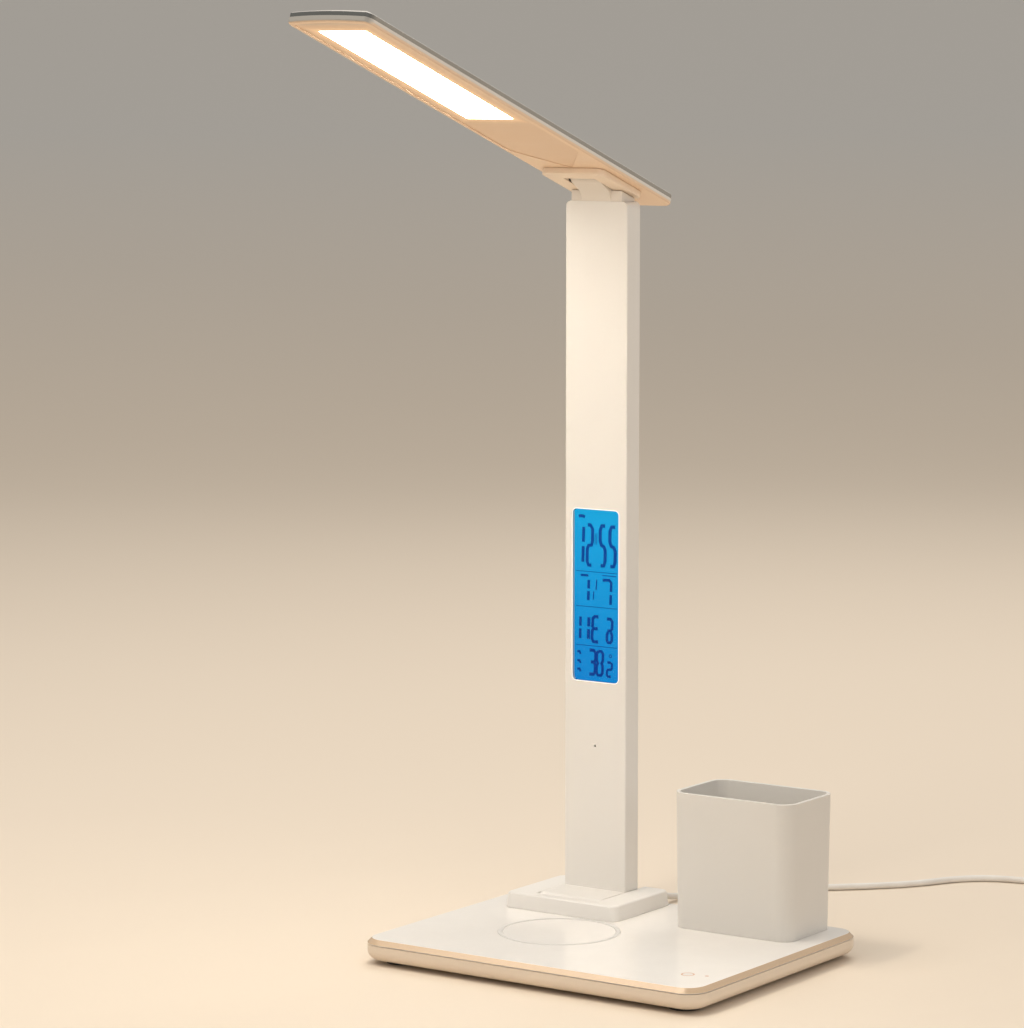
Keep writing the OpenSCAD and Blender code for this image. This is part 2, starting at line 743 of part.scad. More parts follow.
module stem_front_shell() {
  color("white") difference() {
    union() {
      difference() {
        intersection() {
          translate([stem_x, stem_mid, 0])
            rounded_block(stem_w, stem_t, stem_edge_r, platform_top, stem_top);
          stem_outline();
        }
        span([stem_x - inner_w/2, inner_front, platform_top - 1],
             [stem_x + inner_w/2, stem_back + 1, stem_top + 1]);
      }
      for (h = screw_heights)
        translate([stem_x, inner_front - eps, platform_top + h]) rotate([-90, 0, 0])
          cylinder(h = inner_back - inner_front - 0.05, r = 2.8);
    }
    translate([stem_x, inner_front + 1, clock_z]) rotate([90, 0, 0]) linear_extrude(stem_wall + 3)
      rounded_rect(window_w, window_h, window_r);
    translate([stem_x, inner_front + 1, platform_top + sensor_z]) rotate([90, 0, 0])
      cylinder(h = stem_wall + 3, r = sensor_r);
    for (h = screw_heights)
      translate([stem_x, inner_front + 1.5, platform_top + h]) rotate([-90, 0, 0])
        cylinder(h = stem_t, r = 1.05);
  }
}

module stem_back_cover() {
  gap = 0.1;
  color("white") difference() {
    intersection() {
      span([stem_x - inner_w/2 + gap, inner_back, platform_top],
           [stem_x + inner_w/2 - gap, stem_back, stem_top]);
      stem_outline();
    }
    for (h = screw_heights)
      translate([stem_x, inner_back - 1, platform_top + h]) rotate([-90, 0, 0]) {
        cylinder(h = stem_t, r = 1.3);
        translate([0, 0, 1 + back_t - 1.2]) cylinder(h = stem_t, r = 2.3);
      }
    for (i = [-1:1])
      translate([stem_x, inner_back - 1, clock_z + button_rise + i*button_pitch])
        rotate([-90, 0, 0]) cylinder(h = back_t + 2, r = button_r + 0.3);
  }
}

module stem_screws() {
  color("silver")
    for (h = screw_heights)
      translate([stem_x, 0, platform_top + h]) rotate([-90, 0, 0]) {
        translate([0, 0, stem_back - 1.15]) cylinder(h = 1.1, r = 2.2);
        translate([0, 0, inner_front + 1.6]) cylinder(h = stem_back - 1.1 - inner_front - 1.6, r = 1);
      }
}

module stem_wire() {
  color("dimgray")
    translate([stem_x + inner_w/2 - wire_r - 1.2, inner_back - wire_r - 0.15, platform_top + 4])
      cylinder(h = stem_h - 8, r = wire_r);
}

// The neck: a plug in the stem's top, a block cut to the head's slope, and a tongue with a round barrel
module neck() {
  block_w = stem_w - 2*shoulder_r;
  slope = tan(head_angle);
  block_back_z = tilt_z + (pad_z - stop_gap)/cos(head_angle) - (stem_back - tilt_y)*slope;
  block_front_z = block_back_z + stem_t*slope;
  color("white") difference() {
    union() {
      span([stem_x - inner_w/2 + plug_gap, inner_front + plug_gap, stem_top - plug_depth],
           [stem_x + inner_w/2 - plug_gap, inner_back - plug_gap, stem_top - shoulder_r]);
      span([stem_x - stem_w/2 + shoulder_r, inner_front + plug_gap, stem_top - shoulder_r - eps],
           [stem_x + stem_w/2 - shoulder_r, inner_back - plug_gap, stem_top + eps]);
      across(stem_x - block_w/2, stem_x + block_w/2)
        polygon([[stem_front, stem_top], [stem_back, stem_top],
                 [stem_back, block_back_z], [stem_front, block_front_z]]);
      across(stem_x - neck_w/2, stem_x + neck_w/2) neck_side();
      bar_x(stem_x - neck_w/2, stem_x + neck_w/2, tilt_y, tilt_z, barrel_r);
    }
    bar_x(stem_x - neck_w, stem_x + neck_w, tilt_y, tilt_z, tilt_pin_r + pin_gap);
    span([stem_x + inner_w/2 - 6, inner_back - 3, stem_top - plug_depth - 1],
         [stem_x + inner_w/2, inner_back, stem_top - 3]);
  }
}

// Side view of the neck's tongue, between the block and the barrel
module neck_side() {
  polygon([[stem_front, stem_top], [stem_back - 2, stem_top], [tilt_y + 3.1, tilt_z + 2.8],
           [tilt_y - 2.8, tilt_z - 3.1], [stem_front - 2, stem_top + 5]]);
}

// ---------------------------------------------------------------- clock

// Upright plate behind the window, from y0 to y1
module clock_plate(w, h, r, y0, y1) {
  translate([stem_x, y1, clock_z]) rotate([90, 0, 0]) linear_extrude(y1 - y0) rounded_rect(w, h, r);
}

module clock_window() {
  color("lightskyblue", 0.6)
    clock_plate(window_w - 0.1, window_h - 0.1, window_r, inner_front - lens_t, inner_front);
}

module clock_display() {
  color("deepskyblue")
    clock_plate(window_w + 2, window_h + 2, window_r, display_y, display_y + display_t);
}

module clock_backlight() {
  color("white")
    clock_plate(window_w + 1, window_h + 1, 1, backlight_y, backlight_y + backlight_t);
}

module clock_board() {
  color("seagreen")
    clock_plate(window_w + 2, window_h + 4, 1, clock_board_y, clock_board_back);
}

module coin_cell() {
  color("silver") translate([stem_x, clock_board_back + 0.05, clock_z + cell_rise]) rotate([-90, 0, 0])
    cylinder(h = inner_back - clock_board_back - 0.35, r = cell_r);
}

// Height of one of the three clock buttons
function button_z(i) = clock_z + button_rise + i*button_pitch;
flange_y = inner_back - 0.3 - 0.7;
switch_top = flange_y - button_travel - 0.1;

module clock_switches() {
  color("black")
    for (i = [-1:1])
      translate([stem_x, 0, button_z(i)])
        span([-2.4, clock_board_back, -2.4], [2.4, switch_top, 2.4]);
}

module clock_button(i) {
  color("whitesmoke") translate([stem_x, 0, button_z(i)]) rotate([-90, 0, 0]) {
    translate([0, 0, flange_y]) cylinder(h = 0.7, r = button_r + 1);
    translate([0, 0, flange_y + 0.7 - eps])
      cylinder(h = stem_back + button_proud - flange_y - 0.7 + eps, r = button_r);
  }
}

module clock_set_button() {
  clock_button(1);
}

module clock_up_button() {
  clock_button(0);
}

module clock_down_button() {
  clock_button(-1);
}

module temperature_sensor() {
  color("black") translate([stem_x, inner_front + 0.05, platform_top + sensor_z])
    span([-2.5, 0, -3], [2.5, 2.6, 3]);
}

// ---------------------------------------------------------------- head

// Plan of the head drawn in by an inset, with its bowed tip and a straight tail
module head_plan(inset) {
  intersection() {
    translate([0, head_mid]) rounded_rect(head_w - 2*inset, head_l - 2*inset, head_r - inset);
    translate([0, tip_arc - head_reach]) {
      circle(tip_arc - inset);
      translate([-head_w, 0]) square([2*head_w, head_l]);
    }
  }
}

// Bows the tip of what it is intersected with: a disc of a side profile, and a block for the tail
module bow_field(z0, z1) {
  translate([0, tip_arc - head_reach, 0]) {
    rotate_extrude() children();
    span([-head_w, 0, z0], [head_w, head_l, z1]);
  }
}

// Plate with the head's plan, between two heights
module head_plate(inset, z0, z1) {
  translate([0, 0, z0]) linear_extrude(z1 - z0) head_plan(inset);
}

// Opening in the lower frame's floor for the neck, the pin and its nut
module hinge_opening(z0, z1) {
  span([-neck_w/2 - running_gap - 0.1, -slot_front, z0], [neck_w/2 + running_gap + 0.1, slot_back, z1]);
  span([-tilt_ear_x - 5, -ear_r - 0.5, z0], [tilt_ear_x + 5, ear_r + 0.5, z1]);
}

// Plan of the tray's end: two round corners and straight sides that meet in a round point
module tray_end(corner_y, point_y) {
  side = head_w/2 - tray_side - tray_corner_r;
  run = sqrt(side*side + (point_y - corner_y)*(point_y - corner_y));
  lean = asin((tray_corner_r - tray_point_r)/run);
  u = ((point_y - corner_y)*cos(lean) - side*sin(lean))/run;
  v = ((point_y - corner_y)*sin(lean) + side*cos(lean))/run;
  polygon([
    [side + tray_corner_r, corner_y], [side + tray_corner_r*u, corner_y + tray_corner_r*v],
    [tray_point_r*u, point_y + tray_point_r*v], [-tray_point_r*u, point_y + tray_point_r*v],
    [-side - tray_corner_r*u, corner_y + tray_corner_r*v], [-side - tray_corner_r, corner_y]
  ]);
  for (s = [-1, 1]) translate([s*side, corner_y]) circle(tray_corner_r);
  translate([0, point_y]) circle(tray_point_r);
}

// Shallow tray in the underside, which ends in a point in front of the hinge pad
module tray() {
  point_y = -pad_front - 0.6 - tray_point_r;
  corner_y = point_y - tray_taper;
  difference() {
    head_plate(tray_side, under_z - 1, under_z + tray_depth);
    translate([0, 0, under_z - 2]) difference() {
      span([-head_w, corner_y, 0], [head_w, head_tail, 3]);
      translate([0, 0, -1]) linear_extrude(5) tray_end(corner_y, point_y);
    }
  }
}

module head_lower_frame() {
  color("white") at_head() difference() {
    intersection() {
      translate([0, head_mid, 0]) bowl_block(head_w, head_l, head_r, under_z, band_z, 1);
      bow_field(under_z, band_z) bowl_side(tip_arc, under_z, band_z, 1);
    }
    head_plate(head_wall + 0.3, axis_depth, band_z + 1);
    translate([0, panel_y, 0]) rounded_block(panel_w, panel_l, 1, under_z - 1, band_z);
    tray();
    hinge_opening(under_z - 1, band_z);
  }
}

module head_band() {
  color("dimgray") at_head() difference() {
    head_plate(0.2, band_z, cover_bottom_z);
    head_plate(head_wall, band_z - 1, cover_bottom_z + 1);
  }
}

module head_top_cover() {
  r = tip_arc - cover_step;
  color("white") at_head() difference() {
    intersection() {
      translate([0, head_mid, 0])
        bevel_block(head_w - 2*cover_step, head_l - 2*cover_step, head_r - cover_step,
                    cover_bottom_z, head_top_z, cover_bevel, cover_rise);
      bow_field(cover_bottom_z, head_top_z)
        polygon([[0, cover_bottom_z], [r, cover_bottom_z], [r, bevel_z],
                 [r - cover_bevel, head_top_z], [0, head_top_z]]);
    }
    head_plate(cover_step + head_wall + 0.2, cover_bottom_z - 1, ceiling_head_z);
  }
}

module hinge_pad() {
  mid = (pad_back - pad_front)/2;
  color("white") at_head() difference() {
    translate([0, mid, 0]) rounded_block(pad_w, pad_front + pad_back, 4, pad_z, under_z);
    span([-neck_w/2 - running_gap, -slot_front, pad_z - 1],
         [neck_w/2 + running_gap, slot_back, under_z + 1]);
    span([-tilt_ear_x - 4.6, -ear_r - 0.4, -ear_r - 0.4], [tilt_ear_x + 4.6, ear_r + 0.4, under_z + 1]);
  }
}

module light_panel() {
  color("lightyellow") at_head() translate([0, panel_y, 0]) {
    rounded_block(panel_w - 0.2, panel_l - 0.2, 1, under_z + tray_depth, axis_depth + eps);
    rounded_block(panel_w + 2*flange, panel_l + 2*flange, 1, axis_depth, axis_depth + flange_t);
  }
}

module light_guide() {
  color("white") at_head() translate([0, panel_y, guide_z])
    span([-panel_w/2, -panel_l/2, 0], [panel_w/2, panel_l/2, guide_t]);
}

module reflector() {
  color("silver") at_head() translate([0, panel_y, reflector_z])
    span([-panel_w/2 - 2, -panel_l/2, 0], [panel_w/2 + 2, panel_l/2, reflector_t]);
}

led_pitch = panel_l/led_count;

module led_strips() {
  color("white") at_head() translate([0, panel_y, guide_z])
    for (s = [-1, 1])
      translate([s*(panel_w/2 + 1.5), 0, 0]) span([-0.5, -panel_l/2, 0], [0.5, panel_l/2, guide_t]);
}

module led_lamps() {
  color("yellow") at_head() translate([0, panel_y, guide_z + guide_t/2])
    for (s = [-1, 1], i = [0:led_count - 1])
      translate([s*(panel_w/2 + 0.5), (i + 0.5 - led_count/2)*led_pitch, 0])
        cube([0.9, 2.8, guide_t - 0.3], center = true);
}

module heat_plate() {
  color("silver") at_head() translate([0, panel_y, reflector_z + reflector_t])
    span([-panel_w/2 - 3, -panel_l/2 - 1, 0], [panel_w/2 + 3, panel_l/2 + 1, plate_t]);
}

module tilt_bracket() {
  top = ceiling_head_z - 0.05;
  under = top - ear_t;
  outer = tilt_ear_x + ear_t;
  color("silver") at_head() difference() {
    union() {
      span([-pad_w/2 + 1, -pad_front - 3, under], [pad_w/2 - 1, pad_back - 2, top]);
      for (s = [-1, 1])
        translate([s > 0 ? tilt_ear_x : -outer, 0, 0]) {
          span([0, -ear_r, 0], [ear_t, ear_r, under + eps]);
          bar_x(0, ear_t, 0, 0, ear_r);
        }
    }
    span([-tilt_ear_x + 0.05, -barrel_r - 0.6, under - 1], [tilt_ear_x - 0.05, barrel_r + 0.6, top + 1]);
    bar_x(-outer - 1, outer + 1, 0, 0, tilt_pin_r + pin_gap);
    for (x = [-1, 1], y = [-15, 15]) translate([x*14, y, under - 1]) cylinder(h = 4, r = 1.3);
  }
}

module tilt_pin() {
  outer = tilt_ear_x + ear_t;
  color("silver") at_head() {
    bar_x(-outer - 0.1, outer + 3.2, 0, 0, tilt_pin_r);
    bar_x(-outer - 1.4, -outer - 0.05, 0, 0, tilt_pin_r + 0.9);
  }
}

module tilt_washers() {
  color("gold") at_head() difference() {
    for (s = [-1, 1])
      translate([s*(neck_w/2 + running_gap/2), 0, 0])
        bar_x(-running_gap/2 + 0.04, running_gap/2 - 0.04, 0, 0, 2.8);
    bar_x(-neck_w, neck_w, 0, 0, tilt_pin_r + pin_gap);
  }
}

module tilt_nut() {
  start = tilt_ear_x + ear_t + 0.1;
  color("silver") at_head() difference() {
    translate([start, 0, 0]) rotate([0, 90, 0]) rotate(30) cylinder(h = 2.4, r = 3, $fn = 6);
    bar_x(start - 1, start + 4, 0, 0, tilt_pin_r + pin_gap);
  }
}

module bracket_screws() {
  under = ceiling_head_z - 0.05 - ear_t;
  color("silver") at_head()
    for (x = [-1, 1], y = [-15, 15]) translate([x*14, y, 0]) {
      translate([0, 0, under - 0.85]) cylinder(h = 0.8, r = 2);
      translate([0, 0, under - 0.1]) cylinder(h = ear_t, r = 1);
    }
}

// ---------------------------------------------------------------- pen cup

// Solid tapered form of the cup, drawn in by an inset on every side, between two heights
module cup_form(inset, z0, z1) {
  r = cup_r - cup_draft - inset;
  translate([cup_x, cup_y, base_h])
    profiled_block(cup_w - 2*cup_draft - 2*inset, cup_d - 2*cup_draft - 2*inset, r, z0, z1)
      polygon([[0, z0], [r + cup_draft*z0/cup_h, z0], [r + cup_draft*z1/cup_h, z1], [0, z1]]);
}

module pen_cup() {
  color("white") {
    difference() {
      cup_form(0, 0, cup_h);
      cup_form(cup_wall, cup_floor, cup_h + 1);
    }
    for (x = [-1, 1])
      translate([cup_x + x*peg_x, cup_y, base_h - peg_l]) cylinder(h = peg_l + eps, r = peg_r);
  }
}

// ---------------------------------------------------------------- power cord

// Places its children at the mouth of the socket, with Y running back, away from the base
module at_socket() {
  translate([socket_x, base_d/2, socket_z]) children();
}

tip_w = socket_w - 2*socket_wall - 2*tip_gap;
tip_t = socket_t - 2*socket_wall - 2*tip_gap;

module cord_plug() {
  color("white") at_socket() translate([0, plug_l, 0]) rotate([90, 0, 0])
    linear_extrude(plug_l) rounded_rect(plug_w, plug_t, 2.4);
}

module cord_plug_tip() {
  color("silver") at_socket() rotate([90, 0, 0])
    linear_extrude(socket_l + base_wall - 0.8) rounded_rect(tip_w, tip_t, tip_t/2 - eps);
}

module cord_relief() {
  color("white") at_socket() translate([0, plug_l, 0]) rotate([-90, 0, 0])
    rotate_extrude() polygon([[0, 0], [cord_r + 1, 0], [cord_r + 0.4, relief_l], [0, relief_l]]);
}

// The free cord starts at the relief's end, square to it, and runs to the coil's first point
run_path = concat([cord_start],
  smooth_curve(concat([cord_start + [0, cord_d, 0]],
                      [for (p = route) [cord_start[0] + p[0], cord_start[1] + p[1], p[2]]],
                      [coil_in - [cord_d, 0, 0]]), 2),
  [coil_in]);

module cord_run() {
  color("white") tube(run_path, cord_r, 8);
}

module cord_coil() {
  color("white") tube(coil_path, cord_r, 6);
}

module coil_tie() {
  far = coil_outer + cord_r + 0.4;
  near = coil_inner - cord_r - 1.5;
  top = coil_low + layer_rise + cord_r + 0.05;
  color("gray") translate([coil_centre[0], coil_centre[1], 0]) difference() {
    span([-far - tie_t, -5, 0], [-near + tie_t, 5, top + tie_t]);
    span([-far, -6, tie_t], [-near, 6, top]);
  }
}

// The far plug lies beside the coil, at the end of its tail
far_from = coil_path[len(coil_path) - 1];

module far_plug() {
  color("white") translate(far_from) rotate([90, 0, 90])
    linear_extrude(far_l) rounded_rect(far_w, far_t, 2);
}

module far_plug_tip() {
  color("silver") translate(far_from) span([far_l, -6, -2.25], [far_l + 12, 6, 2.25]);
}

base_lower_shell();
base_top_cover();
base_feet();
base_screws();
steel_weight();
grip_ring();
charging_coil();
ferrite_sheet();
charger_board();
charger_parts();
touch_board();
power_socket();
socket_board();
hinge_platform();
fold_bracket();
fold_pin();
fold_nut();
fold_washers();
stem_foot();
stem_front_shell();
stem_back_cover();
stem_screws();
stem_wire();
neck();
clock_window();
clock_display();
clock_backlight();
clock_board();
coin_cell();
clock_switches();
clock_set_button();
clock_up_button();
clock_down_button();
temperature_sensor();
head_lower_frame();
head_band();
head_top_cover();
hinge_pad();
light_panel();
light_guide();
reflector();
led_strips();
led_lamps();
heat_plate();
tilt_bracket();
tilt_pin();
tilt_nut();
tilt_washers();
bracket_screws();
pen_cup();
cord_plug();
cord_plug_tip();
cord_relief();
cord_run();
cord_coil();
coil_tie();
far_plug();
far_plug_tip();
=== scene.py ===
import json
import math

import bmesh
import bpy
from mathutils import Matrix, Vector

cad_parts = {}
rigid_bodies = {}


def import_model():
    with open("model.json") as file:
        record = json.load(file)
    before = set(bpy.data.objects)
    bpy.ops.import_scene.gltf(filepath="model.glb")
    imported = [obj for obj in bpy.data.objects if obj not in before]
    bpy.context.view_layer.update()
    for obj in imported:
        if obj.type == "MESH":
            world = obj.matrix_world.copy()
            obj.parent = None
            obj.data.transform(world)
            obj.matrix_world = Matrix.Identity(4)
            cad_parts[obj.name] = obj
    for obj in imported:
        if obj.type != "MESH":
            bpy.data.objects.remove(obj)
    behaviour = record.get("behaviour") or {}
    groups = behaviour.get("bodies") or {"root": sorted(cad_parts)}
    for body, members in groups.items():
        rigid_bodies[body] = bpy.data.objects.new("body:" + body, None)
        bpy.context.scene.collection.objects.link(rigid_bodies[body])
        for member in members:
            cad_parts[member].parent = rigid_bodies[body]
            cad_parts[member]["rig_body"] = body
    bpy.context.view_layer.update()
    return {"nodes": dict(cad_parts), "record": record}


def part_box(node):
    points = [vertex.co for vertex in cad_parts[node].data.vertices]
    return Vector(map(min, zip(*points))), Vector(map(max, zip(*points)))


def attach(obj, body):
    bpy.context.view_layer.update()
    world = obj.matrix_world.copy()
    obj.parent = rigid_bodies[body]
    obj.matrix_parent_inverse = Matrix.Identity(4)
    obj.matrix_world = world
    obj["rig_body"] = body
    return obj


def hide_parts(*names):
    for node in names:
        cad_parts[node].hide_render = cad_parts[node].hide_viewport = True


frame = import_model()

# A folding desk lamp on a flat charging base, with a clock in its stem, a pen cup and a white cord.
# Sizes are in metres, x to the lamp's right, y to its back and z up. The front of the base faces -y.

scene = bpy.context.scene


# ---------------------------------------------------------------- Studio
# A pale floor that curves up into a pale backdrop, three broad soft lights and an even surround, all
# kept low, because the lamp's own panel lights the stem. The camera stands to the right of the lamp.

class Wire:
    """One socket of a node tree. Sums and products of wires add Math nodes."""

    def __init__(self, nodes, socket):
        self.nodes, self.socket = nodes, socket

    def math(self, operation, *values, clamp=False):
        settings = {"operation": operation, "use_clamp": clamp}
        return self.nodes.node("ShaderNodeMath", settings, dict(enumerate(values)))

    def __add__(self, other):
        return self.math("ADD", self, other)

    def __sub__(self, other):
        return self.math("SUBTRACT", self, other)

    def __rsub__(self, other):
        return self.math("SUBTRACT", other, self)

    def __mul__(self, other):
        return self.math("MULTIPLY", self, other)

    def __lt__(self, other):
        return self.math("LESS_THAN", self, other)

    def __abs__(self):
        return self.math("ABSOLUTE", self)

    def __pow__(self, other):
        return self.math("POWER", self, other)

    __radd__ = __add__
    __rmul__ = __mul__

    def between(self, low, high):
        """0 below low, 1 above high, and an even slope from one to the other."""
        return self.math("MULTIPLY_ADD", self, 1 / (high - low), -low / (high - low), clamp=True)


class Nodes:
    """A node tree that grows by one call of node() for each node."""

    def node(self, kind, settings=None, sockets=None, out=0):
        made = self.tree.nodes.new(kind)
        for key, value in (settings or {}).items():
            setattr(made, key, value)
        for socket, value in (sockets or {}).items():
            self.plug(made.inputs[socket], value)
        return Wire(self, made.outputs[out])

    def plug(self, socket, value):
        if isinstance(value, Wire):
            self.tree.links.new(value.socket, socket)
        elif socket.type == "RGBA" and len(value) == 3:
            socket.default_value = (*value, 1)
        else:
            socket.default_value = value


class Finish(Nodes):
    """A material. What is even all over goes straight on the shader's own sockets."""

    def __init__(self, name, **even):
        self.material = bpy.data.materials.new(name)
        self.material.use_nodes = True
        self.tree = self.material.node_tree
        self.shader = self.tree.nodes["Principled BSDF"]
        for socket, value in even.items():
            self.feed(socket.replace("_", " "), value)

    def feed(self, socket, value):
        self.plug(self.shader.inputs[socket], value)

    def place(self):
        return self.node("ShaderNodeTexCoord", out="Object")

    def axes(self, vector=None):
        """The x, y and z of a vector, or of the place on the piece."""
        split = self.node("ShaderNodeSeparateXYZ", sockets={0: vector or self.place()})
        return [Wire(self, s) for s in split.socket.node.outputs]

    def stretch(self, scale):
        return self.node("ShaderNodeMapping", sockets={"Vector": self.place(), "Scale": scale})

    def seen_from(self, location, rotation=(0, 0, 0)):
        """Coordinates about a point of the object, turned with the piece that lies there."""
        return self.node("ShaderNodeMapping", {"vector_type": "TEXTURE"}, {
            "Vector": self.place(), "Location": location, "Rotation": rotation})

    def noise(self, scale, detail=2.0, roughness=0.5, vector=None):
        return self.node("ShaderNodeTexNoise", sockets={
            "Vector": vector or self.place(), "Scale": scale, "Detail": detail, "Roughness": roughness})

    def rings(self, pitch, vector, axis="Z"):
        """Concentric grooves about an axis, a pitch apart."""
        return self.node("ShaderNodeTexWave", {"wave_type": "RINGS", "rings_direction": axis}, {
            "Vector": vector, "Scale": math.pi / (10 * pitch)})

    def mix(self, factor, a, b):
        return self.node("ShaderNodeMix", {"data_type": "RGBA"}, {0: factor, 6: a, 7: b}, out=2)

    def cells(self, scale, feature="F1", randomness=1.0):
        return self.node("ShaderNodeTexVoronoi", {"feature": feature}, {
            "Vector": self.place(), "Scale": scale, "Randomness": randomness})

    def bump(self, height, depth, strength=1.0, under=None):
        """A relief of the given depth, laid over the one under it."""
        sockets = {"Height": height, "Distance": depth, "Strength": strength}
        if under:
            sockets["Normal"] = under
        return self.node("ShaderNodeBump", sockets=sockets)


def paint(piece, finish):
    piece.data.materials.clear()
    piece.data.materials.append(finish.material)


def mesh_piece(name, points, faces, smooth=False):
    """A new object with this mesh, at the origin."""
    mesh = bpy.data.meshes.new(name)
    mesh.from_pydata([tuple(p) for p in points], [], faces)
    mesh.update()
    if smooth:
        mesh.polygons.foreach_set("use_smooth", [True] * len(mesh.polygons))
    piece = bpy.data.objects.new(name, mesh)
    scene.collection.objects.link(piece)
    return piece


backdrop_paint = Finish("pale_backdrop", Roughness=0.85)
floor_tone = backdrop_paint.mix(backdrop_paint.noise(1.4), (0.76, 0.655, 0.535), (0.79, 0.685, 0.56))
up_wall = backdrop_paint.axes()[2].between(0.0, 0.35)
backdrop_paint.feed("Base Color", backdrop_paint.mix(up_wall, floor_tone, (0.66, 0.64, 0.605)))

view_turn, view_down = 34.6, 6.6
floor_front, floor_back, bend_radius = -3.2, 2.2, 4.0
bend = [i * math.pi / 60 for i in range(28)]
sweep = [(floor_front, 0.0)] + [
    (floor_back + bend_radius * math.sin(a), bend_radius - bend_radius * math.cos(a)) for a in bend]
backdrop = mesh_piece(
    "backdrop",
    [(x, y, z) for y, z in sweep for x in (-5.0, 4.0)],
    [(2 * i, 2 * i + 1, 2 * i + 3, 2 * i + 2) for i in range(len(sweep) - 1)], smooth=True)
backdrop.data.transform(Matrix.Rotation(math.radians(view_turn), 4, "Z"))
paint(backdrop, backdrop_paint)

surround = bpy.data.worlds.new("surround")
surround.use_nodes = True
even_light = surround.node_tree.nodes["Background"].inputs
even_light["Color"].default_value = (1.0, 0.965, 0.92, 1)
even_light["Strength"].default_value = 0.52
scene.world = surround

for name, power, size, place, target, color in (
        ("key_light", 15, 1.2, (-0.6, -0.7, 1.85), (0.0, 0.0, 0.15), (1.0, 0.93, 0.85)),
        ("fill_light", 6, 1.4, (1.7, -0.9, 0.9), (0.0, 0.0, 0.2), (1.0, 0.96, 0.92)),
        ("back_light", 11, 1.1, (-0.3, 1.2, 1.6), (0.0, 0.0, 0.1), (1.0, 0.96, 0.9))):
    light = bpy.data.lights.new(name, "AREA")
    light.energy, light.size, light.color = power, size, color
    softbox = bpy.data.objects.new(name, light)
    softbox.location = place
    softbox.rotation_euler = (Vector(target) - Vector(place)).to_track_quat("-Z", "Y").to_euler()
    scene.collection.objects.link(softbox)

camera = bpy.data.objects.new("camera", bpy.data.cameras.new("camera"))
camera.data.lens, camera.data.sensor_width = 136.58, 36
camera.data.clip_start, camera.data.clip_end = 0.05, 20
camera.location = (1.05719, -1.62088, 0.45088)
camera.rotation_euler = (math.radians(90 - view_down), 0, math.radians(view_turn))
scene.collection.objects.link(camera)
scene.camera = camera
scene.view_settings.view_transform = "Standard"


# ---------------------------------------------------------------- Power cord
# A white PVC lead, 3.5 mm thick and 1.3 m long. It leaves the strain relief, lies on the table, and
# its spare length is wound into two layers of turns, with a straight tail down to the far plug.

cord_width = 0.0035
stem_x = -0.047  # the middle of the stem, behind which the cord leaves the base
cord_start = Vector((stem_x, 0.108, 0.007))
waypoints = [  # in millimetres: x and y from the cord's start, z from the table
    (0, 10, 6.3), (-1, 18, 4.8), (-1, 26, 3.0), (0, 35, 2.0), (4, 46, 1.8), (11, 57, 1.8), (22, 69, 1.8),
    (37, 84, 1.8), (55, 99.5, 1.8), (69, 112.5, 1.8), (83, 127.5, 1.8), (92, 140.5, 1.8), (99, 153.5, 1.8),
    (108, 164.5, 1.8), (119, 171.5, 1.8), (133, 175.5, 1.8), (149, 176.5, 1.8), (165, 175.5, 2.2),
    (178, 174.5, 2.6)]
coil_middle = Vector((0.145, 0.3095))
turn_step = 0.004
coil_turns, climb_angle = 3.75, 180
layer_angle = 360 * coil_turns
coil_outer = 0.020 + turn_step * coil_turns / 2
coil_low = 0.0026


def along(points, steps):
    """The smooth curve through all points."""
    path = []
    for i in range(len(points) - 1):
        a, b = points[max(i - 1, 0)], points[i]
        c, d = points[i + 1], points[min(i + 2, len(points) - 1)]
        for t in [k / steps for k in range(steps)]:
            path.append(0.5 * (2*b + (c - a)*t + (2*a - 5*b + 4*c - d)*t*t + (3*b - a - 3*c + d)*t*t*t))
    return path + [points[-1]]


def coil_point(angle):
    """A point of the coil: inwards on the table, a climb at the middle, and outwards on top."""
    whole = 2 * layer_angle + climb_angle
    radius = coil_outer - turn_step * min(angle, whole - angle) / 360
    climb = min(max((angle - layer_angle) / climb_angle, 0), 1)
    turn = math.radians(angle - 90)
    return Vector((coil_middle.x + radius * math.cos(turn), coil_middle.y + radius * math.sin(turn),
                   coil_low + turn_step * (1 - math.cos(math.pi * climb)) / 2))


def tube(name, path, radius, sides):
    """A closed round tube along the path, with a UV map that runs round it and along it."""
    points, faces, along_it = [], [], [0.0]
    for i, point in enumerate(path):
        ahead = (path[min(i + 1, len(path) - 1)] - path[max(i - 1, 0)]).normalized()
        side = Vector((0, 0, 1)).cross(ahead).normalized()
        up = ahead.cross(side)
        for k in range(sides):
            turn = 2 * math.pi * k / sides
            points.append(point + radius * (side * math.cos(turn) + up * math.sin(turn)))
        if i:
            along_it.append(along_it[-1] + (point - path[i - 1]).length)
    for i in range(len(path) - 1):
        for k in range(sides):
            n = (k + 1) % sides
            faces.append((i*sides + k, i*sides + n, (i + 1)*sides + n, (i + 1)*sides + k))
    faces.append(tuple(reversed(range(sides))))
    faces.append(tuple(range((len(path) - 1)*sides, len(path)*sides)))
    piece = mesh_piece(name, points, faces, smooth=True)
    uv = piece.data.uv_layers.new(name="length")
    for face in piece.data.polygons:
        last_side = face.index % sides == sides - 1 and face.index // sides < len(path) - 1
        for loop, corner in zip(face.loop_indices, face.vertices):
            k = sides if last_side and corner % sides == 0 else corner % sides
            uv.data[loop].uv = (k / sides, along_it[corner // sides])
    return piece


